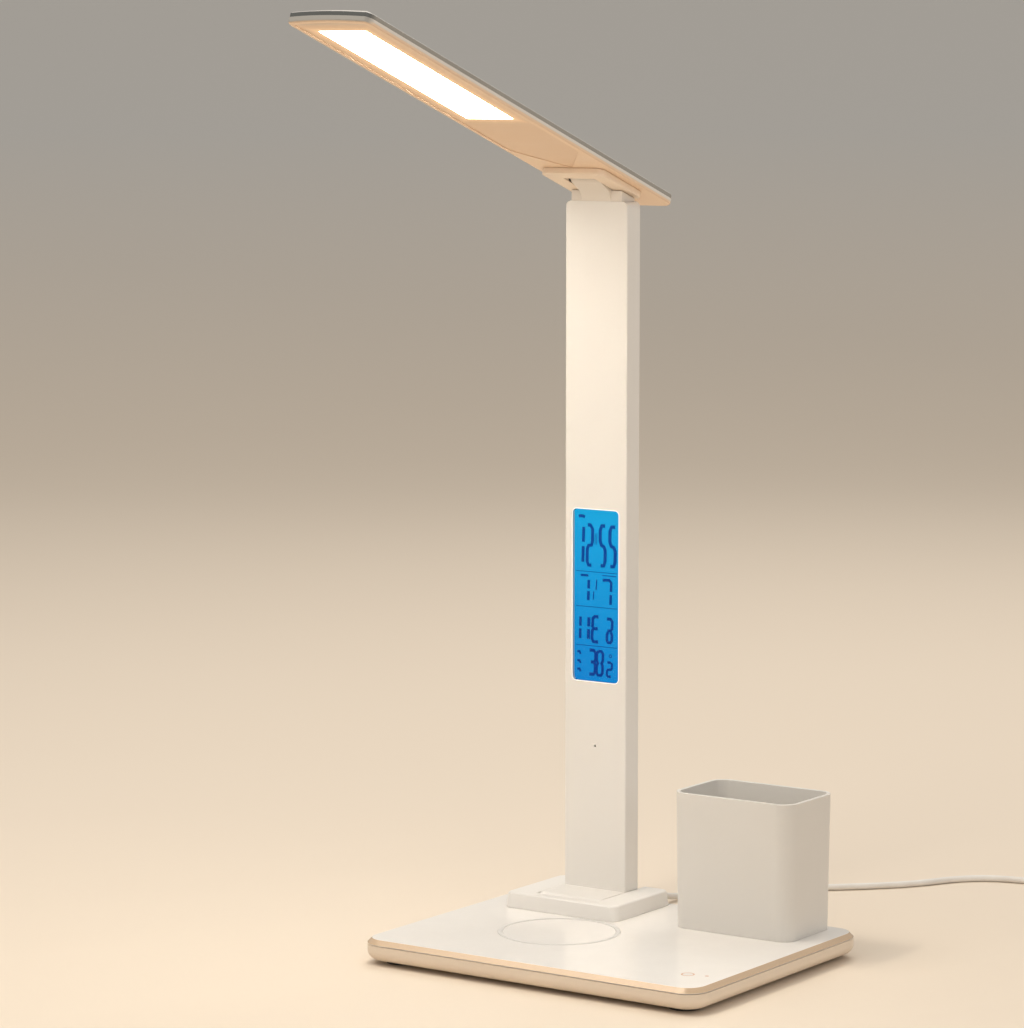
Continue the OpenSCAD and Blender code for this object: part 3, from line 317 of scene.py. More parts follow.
turns = [coil_point(a) for a in range(0, int(2 * layer_angle + climb_angle) + 1, 10)]
coil_in = turns[0] - Vector((cord_width, 0, 0))
plug_height = 0.00385
tail = [turns[-1] + Vector((x / 1000, 0, share * (plug_height - turns[-1].z)))
        for x, share in ((7, 0), (14, 0), (18, 0.15), (22, 0.5), (26, 0.85), (30, 1), (34, 1))]
free = [Vector((cord_start.x + x / 1000, cord_start.y + y / 1000, z / 1000)) for x, y, z in waypoints]
run = along([cord_start + Vector((0, cord_width, 0))] + free + [coil_in - Vector((cord_width, 0, 0))], 2)
cord_path = [cord_start] + run + [coil_in] + turns + tail
cord = tube("power_cord", cord_path, cord_width / 2, 20)

cord_pvc = Finish("white_pvc", Roughness=0.42)
cord_uv = cord_pvc.node("ShaderNodeUVMap", {"uv_map": "length"})
around, lengthways = cord_pvc.axes(cord_uv)[:2]
drawn = cord_pvc.node("ShaderNodeCombineXYZ", sockets={0: around * 6, 1: lengthways * 60})
streaks = cord_pvc.noise(1.0, 3, vector=drawn)
handled = cord_pvc.noise(55, 4, 0.6)
cord_pvc.feed("Base Color", cord_pvc.mix(
    handled.between(0.35, 0.75), (0.80, 0.765, 0.715), (0.70, 0.655, 0.6)))
cord_pvc.feed("Roughness", 0.34 + 0.16 * streaks)
cord_pvc.feed("Normal", cord_pvc.bump(streaks, 0.00012, 0.5))
paint(cord, cord_pvc)
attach(cord, "base")
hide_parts("cord_run", "cord_coil")


# ---------------------------------------------------------------- Strain relief and lamp plug
# Both are moulded in one shot over the cord's end. The grip has raised bars for the fingers and the
# relief is a taper with rings, which bends evenly.

def finished_mesh(piece):
    """A plain mesh of the piece as its modifiers leave it."""
    return bpy.data.meshes.new_from_object(piece.evaluated_get(bpy.context.evaluated_depsgraph_get()))


class Recipe(Nodes):
    """A Geometry Nodes tree with named inputs. bake() turns a piece into what it grows from it."""

    def __init__(self, name, **inputs):
        self.tree = bpy.data.node_groups.new(name, "GeometryNodeTree")
        self.tree.interface.new_socket("Geometry", in_out="OUTPUT", socket_type="NodeSocketGeometry")
        for key, kind in {"Geometry": "Geometry", **inputs, "Finish": "Material"}.items():
            self.tree.interface.new_socket(key, in_out="INPUT", socket_type="NodeSocket" + kind)
        self.given = self.tree.nodes.new("NodeGroupInput")

    def __getitem__(self, name):
        return Wire(self, self.given.outputs[name])

    def finish(self, instances):
        real = self.node("GeometryNodeRealizeInstances", sockets={0: instances})
        made = self.node("GeometryNodeSetMaterial", sockets={"Geometry": real, "Material": self["Finish"]})
        self.tree.links.new(made.socket, self.tree.nodes.new("NodeGroupOutput").inputs[0])

    def bake(self, piece, finish, **values):
        values["Finish"] = finish.material
        step = piece.modifiers.new(self.tree.name, "NODES")
        step.node_group = self.tree
        for item in self.tree.interface.items_tree:
            if item.in_out == "INPUT" and item.name in values:
                step[item.identifier] = values[item.name]
        grown = finished_mesh(piece)
        piece.modifiers.remove(step)
        piece.data = grown
        grown.name = piece.name


row = Recipe("row_of_ribs", Count="Int", Start="Vector", Step="Vector", Shrink="Float")
line = row.node("GeometryNodeMeshLine", {"mode": "OFFSET"}, {
    "Count": row["Count"], "Start Location": row["Start"], "Offset": row["Step"]})
index = row.node("GeometryNodeInputIndex")
rib_scale = row.node("ShaderNodeCombineXYZ", sockets={
    0: 1 - index * row["Shrink"], 1: 1.0, 2: 1 - index * row["Shrink"]})
row.finish(row.node("GeometryNodeInstanceOnPoints", sockets={
    "Points": line, "Instance": row["Geometry"], "Scale": rib_scale}))


def circle(radius, count):
    return [(radius * math.cos(a), radius * math.sin(a))
            for a in [2 * math.pi * k / count for k in range(count)]]


def outline(width, height, radius, steps=6):
    """Points round a rectangle with round corners."""
    loop = []
    for quarter, (u, v) in enumerate(((1, 1), (-1, 1), (-1, -1), (1, -1))):
        for i in range(steps + 1):
            turn = math.radians(90 * quarter + 90 * i / steps)
            loop.append((u * (width / 2 - radius) + radius * math.cos(turn),
                         v * (height / 2 - radius) + radius * math.sin(turn)))
    return loop


def skinned(name, loops, into_ring=False):
    """Loops of equally many points joined into one skin, closed by two caps or into a ring."""
    count = len(loops[0])
    last = (len(loops) - 1) * count
    joined = [(i * count, (i + 1) * count) for i in range(len(loops) - 1)] + [(last, 0)] * into_ring
    faces = [(a + k, a + (k + 1) % count, b + (k + 1) % count, b + k)
             for a, b in joined for k in range(count)]
    if not into_ring:
        faces += [tuple(range(count)), tuple(range(last, last + count))]
    piece = mesh_piece(name, [p for loop in loops for p in loop], faces, smooth=True)
    skin = bmesh.new()
    skin.from_mesh(piece.data)
    bmesh.ops.recalc_face_normals(skin, faces=skin.faces)
    skin.to_mesh(piece.data)
    skin.free()
    piece.data.set_sharp_from_angle(angle=math.radians(35))
    return piece


def grip_loops(width, height, radius, stations, place):
    """Loops of a grip from stations of (distance along it, how far its skin is drawn in)."""
    return [[place(u, v, along) for u, v in outline(width - 2*inset, height - 2*inset, radius - inset)]
            for along, inset in stations]


def bar_stations(half, shoulder):
    """Stations of one low bar with round shoulders, about its middle."""
    return ((-half, 0.0005), (-shoulder, 0.00005), (0, 0), (shoulder, 0.00005), (half, 0.0005))


def settle(piece, body, slot, *nodes):
    """Puts a finished piece on a body, in place of the CAD nodes that it stands for."""
    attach(piece, body)
    if nodes:
        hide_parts(*nodes)
    return piece


grip_pvc = Finish("grip_pvc", Specular_IOR_Level=0.45)
grip_grain = grip_pvc.noise(1900, 2, 0.6)
grip_pvc.feed("Base Color", grip_pvc.mix(
    grip_pvc.noise(130, 4, 0.6).between(0.35, 0.7), (0.79, 0.755, 0.705), (0.71, 0.67, 0.615)))
grip_pvc.feed("Roughness", 0.4 + 0.2 * grip_grain)
grip_pvc.feed("Normal", grip_pvc.bump(grip_grain, 0.00004, 0.5))

mouth = Vector((stem_x, 0.080, 0.007))
grip_size = (0.011, 0.0064, 0.0024)
grip = skinned("lamp_plug_grip", grip_loops(
    *grip_size,
    ((0, 0.0005), (0.0002, 0.0002), (0.0006, 0), (0.0042, 0), (0.0046, 0.0003), (0.0138, 0.0003),
     (0.0142, 0), (0.0168, 0), (0.0176, 0.0003), (0.018, 0.0009)),
    lambda u, v, w: mouth + Vector((u, w, v))))
grip_bars = skinned("lamp_plug_bars", grip_loops(
    *grip_size, bar_stations(0.0004, 0.00025), lambda u, v, w: Vector((u, w, v))))
row.bake(grip_bars, grip_pvc,
         Count=6, Start=mouth + Vector((0, 0.0054, 0)), Step=(0, 0.0015, 0), Shrink=0.0)

relief_core = skinned("strain_relief", [
    [mouth + Vector((x, y, z)) for x, z in circle(r, 32)]
    for y, r in ((0.0178, 0.0026), (0.018, 0.00265), (0.0236, 0.0022), (0.0274, 0.00195), (0.028, 0.0018))])
relief_rings = skinned("strain_relief_rings", [
    [(x, y, z) for x, z in circle(r, 32)]
    for y, r in ((-0.0006, 0.0022), (-0.0005, 0.0026), (-0.00035, 0.0027), (0.00035, 0.0027),
                 (0.0005, 0.0026), (0.0006, 0.0022))])
row.bake(relief_rings, grip_pvc,
         Count=5, Start=mouth + Vector((0, 0.0192, 0)), Step=(0, 0.0018, 0), Shrink=0.04)
for piece in (grip, relief_core):
    paint(piece, grip_pvc)
settle(grip, "base", "cord_white", "cord_plug")
settle(grip_bars, "base", "cord_white")
settle(relief_core, "base", "cord_white", "cord_relief")
settle(relief_rings, "base", "cord_white")


# ---------------------------------------------------------------- Plug tips and far plug
# The tips are nickel-plated sheet steel. The far plug has a wider grip, and its shell is an open
# rectangular tube with a white tongue, four contacts and two catch windows on each broad side.

def worked_metal(name, shade, color, clouds, lines, gloss, detail=3, strength=0.5):
    """Metal with clouds of tone, given by scale and detail, and the fine lines of its rolling, turning
    or plating, by scale along x, y and z. gloss is its lowest roughness and what the lines add."""
    finish = Finish(name, Metallic=1.0)
    worked = finish.noise(1.0, detail, 0.6, finish.stretch(lines))
    finish.feed("Base Color", finish.mix(finish.noise(*clouds), shade, color))
    finish.feed("Roughness", gloss[0] + gloss[1] * worked)
    finish.feed("Normal", finish.bump(worked, 0.00001, strength))
    return finish


def dress(finish, *nodes):
    """Paints CAD pieces that keep the mesh of their solid."""
    for node in nodes:
        paint(frame["nodes"][node], finish)


plug_nickel = worked_metal("plug_nickel", (0.62, 0.60, 0.57), (0.72, 0.7, 0.67), (300, 3),
                           (140, 2400, 2400), (0.2, 0.16), strength=0.4)
dress(plug_nickel, "cord_plug_tip")

far_from = cord_path[-1]
far_size = (0.015, 0.0076, 0.002)
far_grip = skinned("far_plug_grip", grip_loops(
    *far_size,
    ((0, 0.0012), (0.0005, 0.0004), (0.0012, 0), (0.007, 0), (0.0074, 0.0003), (0.0196, 0.0003),
     (0.02, 0), (0.0255, 0), (0.026, 0.0004)),
    lambda u, v, w: far_from + Vector((w, u, v))))
far_bars = skinned("far_plug_bars", grip_loops(
    *far_size, bar_stations(0.0005, 0.0003), lambda u, v, w: Vector((w, u, v))))
row.bake(far_bars, grip_pvc,
         Count=7, Start=far_from + Vector((0.0084, 0, 0)), Step=(0.0017, 0, 0), Shrink=0.0)
paint(far_grip, grip_pvc)
settle(far_grip, "base", "cord_white", "far_plug")
settle(far_bars, "base", "cord_white")


def blocks(name, *corners):
    """Closed boxes in one piece, each from its low corner to its high corner."""
    mesh = bmesh.new()
    for low, high in corners:
        for vert in bmesh.ops.create_cube(mesh, size=1.0)["verts"]:
            vert.co = Vector([(a + b) / 2 + c * (b - a) for a, b, c in zip(low, high, vert.co)])
    data = bpy.data.meshes.new(name)
    mesh.to_mesh(data)
    mesh.free()
    piece = bpy.data.objects.new(name, data)
    scene.collection.objects.link(piece)
    return piece


def cut(piece, tool):
    """Takes the tool's shape out of the piece and deletes the tool."""
    saw = piece.modifiers.new("cut", "BOOLEAN")
    saw.object, saw.operation, saw.solver, saw.use_self = tool, "DIFFERENCE", "EXACT", True
    carved = finished_mesh(piece)
    piece.modifiers.remove(saw)
    piece.data = carved
    bpy.data.objects.remove(tool)


tip_wide, tip_high, tip_corner = 0.012, 0.0045, 0.0006
tip_loops = [
    [far_from + Vector((w, u, v)) for u, v in outline(tip_wide - 2*i, tip_high - 2*i, tip_corner - i/3, 3)]
    for w, i in ((0.026, 0), (0.0378, 0), (0.038, 0.0001), (0.038, 0.0003), (0.0262, 0.0003))]
far_shell = skinned("far_plug_shell", tip_loops)
catches = [(y, side * tip_high / 2) for y in (-0.0029, 0.0029) for side in (-1, 1)]
cut(far_shell, blocks("catch_windows", *[
    (far_from + Vector((0.0312, y - 0.0011, z - 0.0004)),
     far_from + Vector((0.0336, y + 0.0011, z + 0.0004))) for y, z in catches]))
far_shell.data.set_sharp_from_angle(angle=math.radians(35))
paint(far_shell, plug_nickel)
tongue = blocks("far_plug_tongue", (
    far_from + Vector((0.0262, -0.0055, -0.0002)), far_from + Vector((0.0376, 0.0055, 0.0018))))
paint(tongue, grip_pvc)
contacts = blocks("far_plug_contacts", *[
    (far_from + Vector((0.0275, y - 0.0006, -0.00035)), far_from + Vector((0.0368, y + 0.0006, -0.00018)))
    for y in (-0.0035, -0.0012, 0.0012, 0.0035)])
gold_plate = Finish("gold_plate", Metallic=1.0)
gold_plate.feed("Base Color", gold_plate.mix(
    gold_plate.noise(700, 3), (0.85, 0.6, 0.26), (0.72, 0.48, 0.2)))
gold_plate.feed("Roughness", 0.2 + 0.2 * gold_plate.noise(900, 2))
paint(contacts, gold_plate)
settle(far_shell, "base", "bright_metal", "far_plug_tip")
settle(tongue, "base", "cord_white")
settle(contacts, "base", "bright_metal")


# ---------------------------------------------------------------- Cord tie
# A ribbed strap of grey silicone, closed round the coil where its turns lie side by side. It is put on
# after the cord is wound, so the cord with its plugs and rings is handed over here.

slot_of = {part["node"]: part["material_slot"] for part in frame["record"]["subparts"]}


def softened(node, radius, finish, segments=3):
    """The CAD piece with its sharp edges rounded, as its mould or die rounds them."""
    source = frame["nodes"][node]
    shape = bmesh.new()
    shape.from_mesh(source.data)
    bmesh.ops.remove_doubles(shape, verts=shape.verts, dist=2e-6)
    bmesh.ops.dissolve_limit(shape, angle_limit=math.radians(0.6), verts=shape.verts, edges=shape.edges)
    for face in shape.faces:
        face.smooth = True
    plain = bpy.data.meshes.new(node + "_plain")
    shape.to_mesh(plain)
    shape.free()
    piece = bpy.data.objects.new(node + "_moulding", plain)
    scene.collection.objects.link(piece)
    edge = piece.modifiers.new("rounded_edges", "BEVEL")
    edge.width, edge.segments, edge.limit_method = radius, segments, "ANGLE"
    edge.angle_limit, edge.miter_outer = math.radians(38), "MITER_ARC"
    evened = piece.modifiers.new("evened_shading", "WEIGHTED_NORMAL")
    evened.weight, evened.keep_sharp = 100, True
    moulding = finished_mesh(piece)
    piece.modifiers.clear()
    piece.data = moulding
    moulding.name = piece.name
    paint(piece, finish)
    return settle(piece, source["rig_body"], slot_of[node], node)


tie_silicone = Finish("tie_silicone", Specular_IOR_Level=0.35)
across_tie = tie_silicone.axes()[1]
ribbed = across_tie.math("SINE", across_tie * 5200)
tie_silicone.feed("Base Color", tie_silicone.mix(
    tie_silicone.noise(260, 4), (0.2, 0.2, 0.2), (0.3, 0.295, 0.29)))
tie_silicone.feed("Roughness", 0.55 + 0.2 * tie_silicone.noise(800, 2))
tie_silicone.feed("Normal", tie_silicone.bump(ribbed, 0.00008, 0.5))
tie = softened("coil_tie", 0.0003, tie_silicone)


# ---------------------------------------------------------------- Lower shell of the base
# A moulded ABS tray, 200 x 160 mm, whose wall rolls under to the feet. Satin cream white with a fine
# spark-eroded grain, its colour warmed by painted warm bounce light, and a little darker in patches near
# the table.

def moulded(name, color, shade, roughness, grain=0.5, low_tone=None, **even):
    """Injection-moulded plastic: soft clouds of tone, faint rubbed places and a fine grain. The tone near
    the table is given as the heights between which a darker, patchy tone fades out, and that tone."""
    finish = Finish(name, **even)
    clouds = finish.noise(9, 3, 0.55)
    finish.base = finish.mix(clouds.between(0.3, 0.7), shade, color)
    # A darker, patchy tone near the table, fading out between two heights.
    if low_tone:
        low, high, tone = low_tone
        near_table = 1 - finish.axes()[2].between(low, high)
        patches = finish.noise(70, 5, 0.65).between(0.25, 0.8)
        finish.base = finish.mix(near_table * patches, finish.base, tone)
    finish.feed("Base Color", finish.base)
    rubbed = finish.noise(1.0, 4, 0.6, finish.stretch((26, 90, 60)))
    finish.feed("Roughness", roughness - 0.03 + 0.12 * rubbed.between(0.35, 0.8))
    fine = finish.noise(2600, 2, 0.6)
    peel = finish.noise(320, 1, 0.4)
    finish.feed("Normal", finish.bump(fine, 0.00002, grain, finish.bump(peel, 0.00005, 0.2)))
    return finish


# Cream white ABS warmed to a brownish cream: painted warm bounce light on the shell's colour.
cream_abs = moulded("cream_abs", (0.80, 0.68, 0.55), (0.76, 0.64, 0.51), 0.42,
                    low_tone=(0.002, 0.006, (0.6, 0.5, 0.4)))
softened("base_lower_shell", 0.0003, cream_abs)


# ---------------------------------------------------------------- Feet
# Five round pads of black rubber, one at each corner and one in the middle, glued into shallow pockets.
# Their undersides carry a fine curved tread.

foot_rubber = Finish("foot_rubber", Specular_IOR_Level=0.35)
tread = foot_rubber.bump(foot_rubber.rings(0.0012, foot_rubber.place()), 0.0001, 0.3)
foot_rubber.feed("Base Color", foot_rubber.mix(
    foot_rubber.noise(160, 4), (0.035, 0.034, 0.033), (0.075, 0.071, 0.067)))
foot_rubber.feed("Roughness", 0.62 + 0.2 * foot_rubber.noise(500, 2))
foot_rubber.feed("Normal", foot_rubber.bump(foot_rubber.noise(1500, 2), 0.00008, 0.6, tread))
softened("base_feet", 0.0003, foot_rubber)


# ---------------------------------------------------------------- Weight, charger and circuit boards
# Inside the tray: a plate of rolled steel, the wound charging coil on its ferrite sheet, the charger's
# board with its parts, the touch board and the power socket with its own small board.

rolled_steel = worked_metal("rolled_steel", (0.46, 0.455, 0.45), (0.6, 0.59, 0.58), (40, 4),
                            (2600, 160, 160), (0.28, 0.2))
softened("steel_weight", 0.0003, rolled_steel)
dress(rolled_steel, "power_socket")

coil_spot, wire_pitch = (-0.025, -0.010, 0), 0.00055
wound_copper = Finish("wound_copper", Metallic=1.0)
windings = wound_copper.rings(wire_pitch, wound_copper.seen_from(coil_spot))
wound_copper.feed("Base Color", wound_copper.mix(windings, (0.32, 0.11, 0.05), (0.82, 0.38, 0.2)))
wound_copper.feed("Roughness", 0.24 + 0.2 * wound_copper.noise(600, 2))
wound_copper.feed("Normal", wound_copper.bump(windings, 0.0002, 0.9))
dress(wound_copper, "charging_coil")

ferrite = Finish("pressed_ferrite", Specular_IOR_Level=0.4)
off_cracks = ferrite.cells(260, feature="DISTANCE_TO_EDGE").between(0.0, 0.04)
ferrite.feed("Base Color", ferrite.mix(off_cracks, (0.015, 0.015, 0.015), (0.055, 0.053, 0.052)))
ferrite.feed("Roughness", 0.4 + 0.3 * ferrite.noise(900, 3))
ferrite.feed("Normal", ferrite.bump(off_cracks, 0.00005, 0.5))
dress(ferrite, "ferrite_sheet")

board = Finish("circuit_board", Specular_IOR_Level=0.5)
tracks = board.node("ShaderNodeTexBrick", {"offset": 0.35, "squash": 0.6}, {
    "Vector": board.place(), "Scale": 420.0, "Mortar Size": 0.07, "Mortar Smooth": 0.2}, out=1)
pads = board.cells(520, randomness=0.25) < 0.16
solder_mask = board.mix(tracks, (0.012, 0.14, 0.05), (0.03, 0.26, 0.09))
board.feed("Base Color", board.mix(pads, solder_mask, (0.68, 0.66, 0.62)))
board.feed("Roughness", 0.42 - 0.16 * tracks)
board.feed("Metallic", 0.9 * pads)
board.feed("Normal", board.bump(tracks, 0.00004, 0.6))
dress(board, "charger_board", "touch_board", "socket_board", "clock_board")

epoxy = Finish("black_epoxy")
epoxy_grain = epoxy.noise(1700, 3, 0.6)
epoxy.feed("Base Color", epoxy.mix(epoxy.noise(220, 3), (0.014, 0.014, 0.015), (0.035, 0.035, 0.036)))
epoxy.feed("Roughness", 0.38 + 0.25 * epoxy_grain)
epoxy.feed("Normal", epoxy.bump(epoxy_grain, 0.00004, 0.6))
dress(epoxy, "charger_parts", "temperature_sensor", "clock_switches", "stem_wire")


# ---------------------------------------------------------------- Screws of the base
# Four pan-head screws, 2 mm thick and zinc plated, go up from under the corner feet into the top
# cover's bosses. Each head has a cross recess, and each was driven home to its own angle.

def lathed(name, profile):
    """A closed turned shape from (radius, height) pairs."""
    return skinned(name, [[(x, y, z) for x, y in circle(r, 28)] for r, z in profile])


def cross_screw(name, head_r, head_h, length):
    """A 2 mm screw that points down, with the top of its head at zero and a cross recess in it."""
    thread_r, pitch = 0.001, 0.0005
    root_r = thread_r * 0.84
    thread = []
    for k in range(int((length - head_h - 0.0006) / pitch)):
        z = -length + pitch + pitch * k
        thread += [(root_r, z), (thread_r, z + 0.00022), (root_r, z + 0.0004)]
    head = [(head_r * r, -head_h * z) for r, z in (
        (0.97, 1), (1, 0.92), (1, 0.45), (0.9, 0.16), (0.7, 0.02), (0.66, 0))]
    made = lathed(name, [(thread_r * 0.3, -length)] + thread + [(root_r, -head_h - 0.00002)] + head)
    half, arm, floor = head_r * 0.13, head_r * 0.6, -head_h * 0.62
    cut(made, blocks("recess", ((-arm, -half, floor), (arm, half, 0.001)),
                     ((-half, -arm, floor), (half, arm, 0.001))))
    made.data.set_sharp_from_angle(angle=math.radians(32))
    return made


driven = Recipe("driven_screws", Screw="Object", Turn="Vector", Seed="Int")
one_screw = driven.node("GeometryNodeObjectInfo", {"transform_space": "ORIGINAL"},
                        {"Object": driven["Screw"]}, out="Geometry")
at_points = driven.node("GeometryNodeInstanceOnPoints", sockets={
    "Points": driven["Geometry"], "Instance": one_screw, "Rotation": driven["Turn"]})
spin = driven.node("FunctionNodeRandomValue", {"data_type": "FLOAT"},
                   {2: 0.0, 3: 2 * math.pi, 8: driven["Seed"]}, out=1)
driven.finish(driven.node("GeometryNodeRotateInstances", sockets={
    "Instances": at_points, "Rotation": driven.node("ShaderNodeCombineXYZ", sockets={2: spin}),
    "Local Space": True}))

zinc = worked_metal("zinc_plate", (0.5, 0.49, 0.47), (0.68, 0.66, 0.62), (420, 4),
                    (900, 900, 240), (0.24, 0.24), detail=4)


def fasten(name, places, screw, turn, seed):
    """Screws at the places, all pointing the same way, each driven to its own angle."""
    made = mesh_piece(name, places, [])
    driven.bake(made, zinc, Screw=screw, Turn=turn, Seed=seed)
    bpy.data.objects.remove(screw)
    return made


foot_x, foot_y = 0.084, 0.064
screw_low, screw_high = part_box("base_screws")
base_screws = fasten(
    "base_screws_driven", [(x, y, screw_low[2]) for x in (-foot_x, foot_x) for y in (-foot_y, foot_y)],
    cross_screw("base_screw", 0.0022, 0.0012, screw_high[2] - screw_low[2]), (math.pi, 0, 0), 5)
settle(base_screws, "base", "steel", "base_screws")


# ---------------------------------------------------------------- Top cover and charging spot
# The cover is moulded in glossy cream-white ABS, and its bevelled edge carries a warm gold tone that is a
# painted reflection of a wooden surface.
# A silicone ring marks the charging spot, and two small marks show the touch keys.

gloss_abs = moulded("gloss_abs", (0.90, 0.865, 0.82), (0.885, 0.845, 0.795), 0.2,
                    grain=0.06, Coat_Roughness=0.08)
cover_z = gloss_abs.axes()[2]
bevel_band = cover_z.between(0.01075, 0.0109) * (1 - cover_z.between(0.01316, 0.01326))
# A painted reflection of a warm wooden surface, laid on the band of the bevel.
painted_wood_reflection = gloss_abs.mix(gloss_abs.noise(3800, 2, 0.7), (0.56, 0.405, 0.26), (0.66, 0.49, 0.33))
smears = gloss_abs.noise(60, 5, 0.7)
gloss_abs.feed("Base Color", gloss_abs.mix(bevel_band, gloss_abs.base, painted_wood_reflection))
gloss_abs.feed("Metallic", 0.12 * bevel_band)
gloss_abs.feed("Roughness", 0.2 + 0.04 * smears)
gloss_abs.feed("Coat Weight", 0.3 - 0.06 * smears.between(0.45, 0.75))
softened("base_top_cover", 0.0003, gloss_abs)

grip_silicone = Finish("grip_silicone", Specular_IOR_Level=0.4)
grip_silicone.feed("Base Color", grip_silicone.mix(
    grip_silicone.noise(90, 3), (0.62, 0.6, 0.57), (0.7, 0.68, 0.65)))
grip_silicone.feed("Roughness", 0.6 + 0.15 * grip_silicone.noise(300, 2))
grip_silicone.feed("Normal", grip_silicone.bump(grip_silicone.noise(1800, 1), 0.00006, 0.5))
softened("grip_ring", 0.0003, grip_silicone)

key_print = Finish("key_print", Roughness=0.35)
key_print.feed("Base Color", key_print.mix(key_print.noise(1500, 3), (0.5, 0.24, 0.1), (0.42, 0.19, 0.08)))
cover_top, print_top, print_edge = 0.0133, 0.01333, 0.00005
for name, x, y, outer, inner in (("touch_key_ring", 0.0785, -0.0525, 0.0034, 0.0026),
                                 ("touch_key_dot", 0.088, -0.0504, 0.001, 0.0002)):
    section = ((outer, cover_top), (outer - print_edge, print_top),
               (inner + print_edge, print_top), (inner, cover_top))
    mark = skinned(name, [[(x + u, y + v, z) for u, v in circle(r, 48)] for r, z in section],
                   into_ring=True)
    paint(mark, key_print)
    settle(mark, "base", "copper")


# ---------------------------------------------------------------- Hinge platform and its bracket
# A raised white ABS block with sloped sides takes the stem's foot in a slot. Inside it a folded steel
# bracket carries the pin, with a brass washer on each side of the foot and a nut on the pin's end.

white_abs = moulded("white_abs", (0.83, 0.80, 0.755), (0.81, 0.775, 0.725), 0.32, grain=0.18)
softened("hinge_platform", 0.0005, white_abs)
dress(rolled_steel, "fold_bracket", "tilt_bracket")
dress(zinc, "fold_pin", "fold_nut", "tilt_pin", "tilt_nut")

brass = worked_metal("turned_brass", (0.62, 0.42, 0.17), (0.78, 0.56, 0.26), (300, 4),
                     (2000, 500, 500), (0.22, 0.2))
dress(brass, "fold_washers", "tilt_washers")


# ---------------------------------------------------------------- Stem
# The foot turns on the pin, and the front shell and the flat back cover close round it: white ABS,
# 38 mm wide and 12.5 mm deep, with soft edges. Four screws in the back hold the cover.

softened("stem_foot", 0.0004, white_abs)
softened("stem_front_shell", 0.0006, white_abs, segments=4)
softened("stem_back_cover", 0.0003, white_abs)
screw_low, screw_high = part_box("stem_screws")
stem_screws = fasten(
    "stem_screws_driven", [(stem_x, screw_high[1], z) for z in (0.0593, 0.1238, 0.2328, 0.3443)],
    cross_screw("stem_screw", 0.0022, 0.0011, screw_high[1] - screw_low[1]), (-math.pi / 2, 0, 0), 9)
settle(stem_screws, "stem", "steel", "stem_screws")


# ---------------------------------------------------------------- Clock
# Behind a clear window in a thin white bead lies a liquid crystal plate, lit blue from behind, with dark
# navy segments. The bead glows faintly as a painted highlight round the window. The board behind it carries
# three switches, and a coin cell sits above them. Three keys in the back cover press the switches.

window_glass = Finish("window_acrylic", Transmission_Weight=1.0, IOR=1.08)
wiped = window_glass.noise(1.0, 4, 0.6, window_glass.stretch((160, 160, 30)))
window_glass.feed("Base Color", window_glass.mix(wiped, (0.97, 0.99, 1.0), (0.93, 0.96, 0.98)))
window_glass.feed("Roughness", 0.015 + 0.05 * wiped.between(0.55, 0.8))
window_glass.feed("Normal", window_glass.bump(wiped, 0.000004, 0.3))
dress(window_glass, "clock_window")

clock_low, clock_high, clock_wide = 0.1308, 0.2208, 0.0284
lit_crystal = Finish("lit_crystal", Roughness=0.45, Specular_IOR_Level=0.05, Emission_Strength=0.95)
up_clock = lit_crystal.axes()[2].between(clock_low, clock_high)
cloudy = lit_crystal.noise(70, 3, 0.5)
blue = lit_crystal.mix(up_clock, (0.004, 0.185, 0.56), (0.009, 0.375, 0.70))
lit_crystal.feed("Emission Color", lit_crystal.mix(0.25 * cloudy, blue, (0.012, 0.44, 0.76)))
lit_crystal.feed("Base Color", lit_crystal.mix(cloudy, (0.002, 0.03, 0.08), (0.003, 0.05, 0.11)))
dress(lit_crystal, "clock_display")

# The strokes of each figure, in a box one wide and one high, from its top left corner.
numerals = {
    "1": [[(0.55, 0.05), (0.47, 0.43)], [(0.45, 0.54), (0.38, 0.94)]],
    "2": [[(0.12, 0), (0.62, 0), (1, 0.1), (0.97, 0.4), (0.8, 0.5), (0.25, 0.51), (0.03, 0.6), (0, 0.9),
           (0.22, 1), (0.78, 1)]],
    "3": [[(0.12, 0), (0.75, 0), (1, 0.1), (0.97, 0.4), (0.78, 0.49), (0.3, 0.49)],
          [(0.78, 0.5), (0.95, 0.6), (0.92, 0.88), (0.7, 1), (0.08, 1)]],
    "5": [[(0.92, 0), (0.3, 0), (0.04, 0.12), (0.02, 0.38), (0.25, 0.49), (0.72, 0.52), (0.95, 0.62),
           (0.92, 0.88), (0.7, 1), (0.12, 1)]],
    "6": [[(0.9, 0), (0.4, 0), (0.14, 0.08), (0.1, 0.44)],
          [(0.8, 0.47), (0.2, 0.49), (0.06, 0.58), (0.02, 0.88), (0.2, 1), (0.86, 1)]],
    "7": [[(0.02, 0.04), (0.78, 0.02), (1, 0.12), (0.97, 0.46)], [(0.96, 0.58), (0.92, 0.96)]],
    "8": [[(0.3, 0), (0.75, 0), (0.98, 0.1), (0.95, 0.4), (0.75, 0.5), (0.92, 0.6), (0.9, 0.9), (0.68, 1),
           (0.22, 1), (0.02, 0.9), (0.05, 0.6), (0.24, 0.5), (0.06, 0.4), (0.08, 0.1), (0.3, 0)]],
    "9": [[(0.12, 0), (0.7, 0), (0.96, 0.1), (0.92, 0.4), (0.7, 0.5), (0.2, 0.5)],
          [(0.75, 0.56), (0.9, 0.66), (0.88, 0.9), (0.66, 1), (0.3, 1), (0.12, 0.9), (0.14, 0.66),
           (0.3, 0.56)]],
}
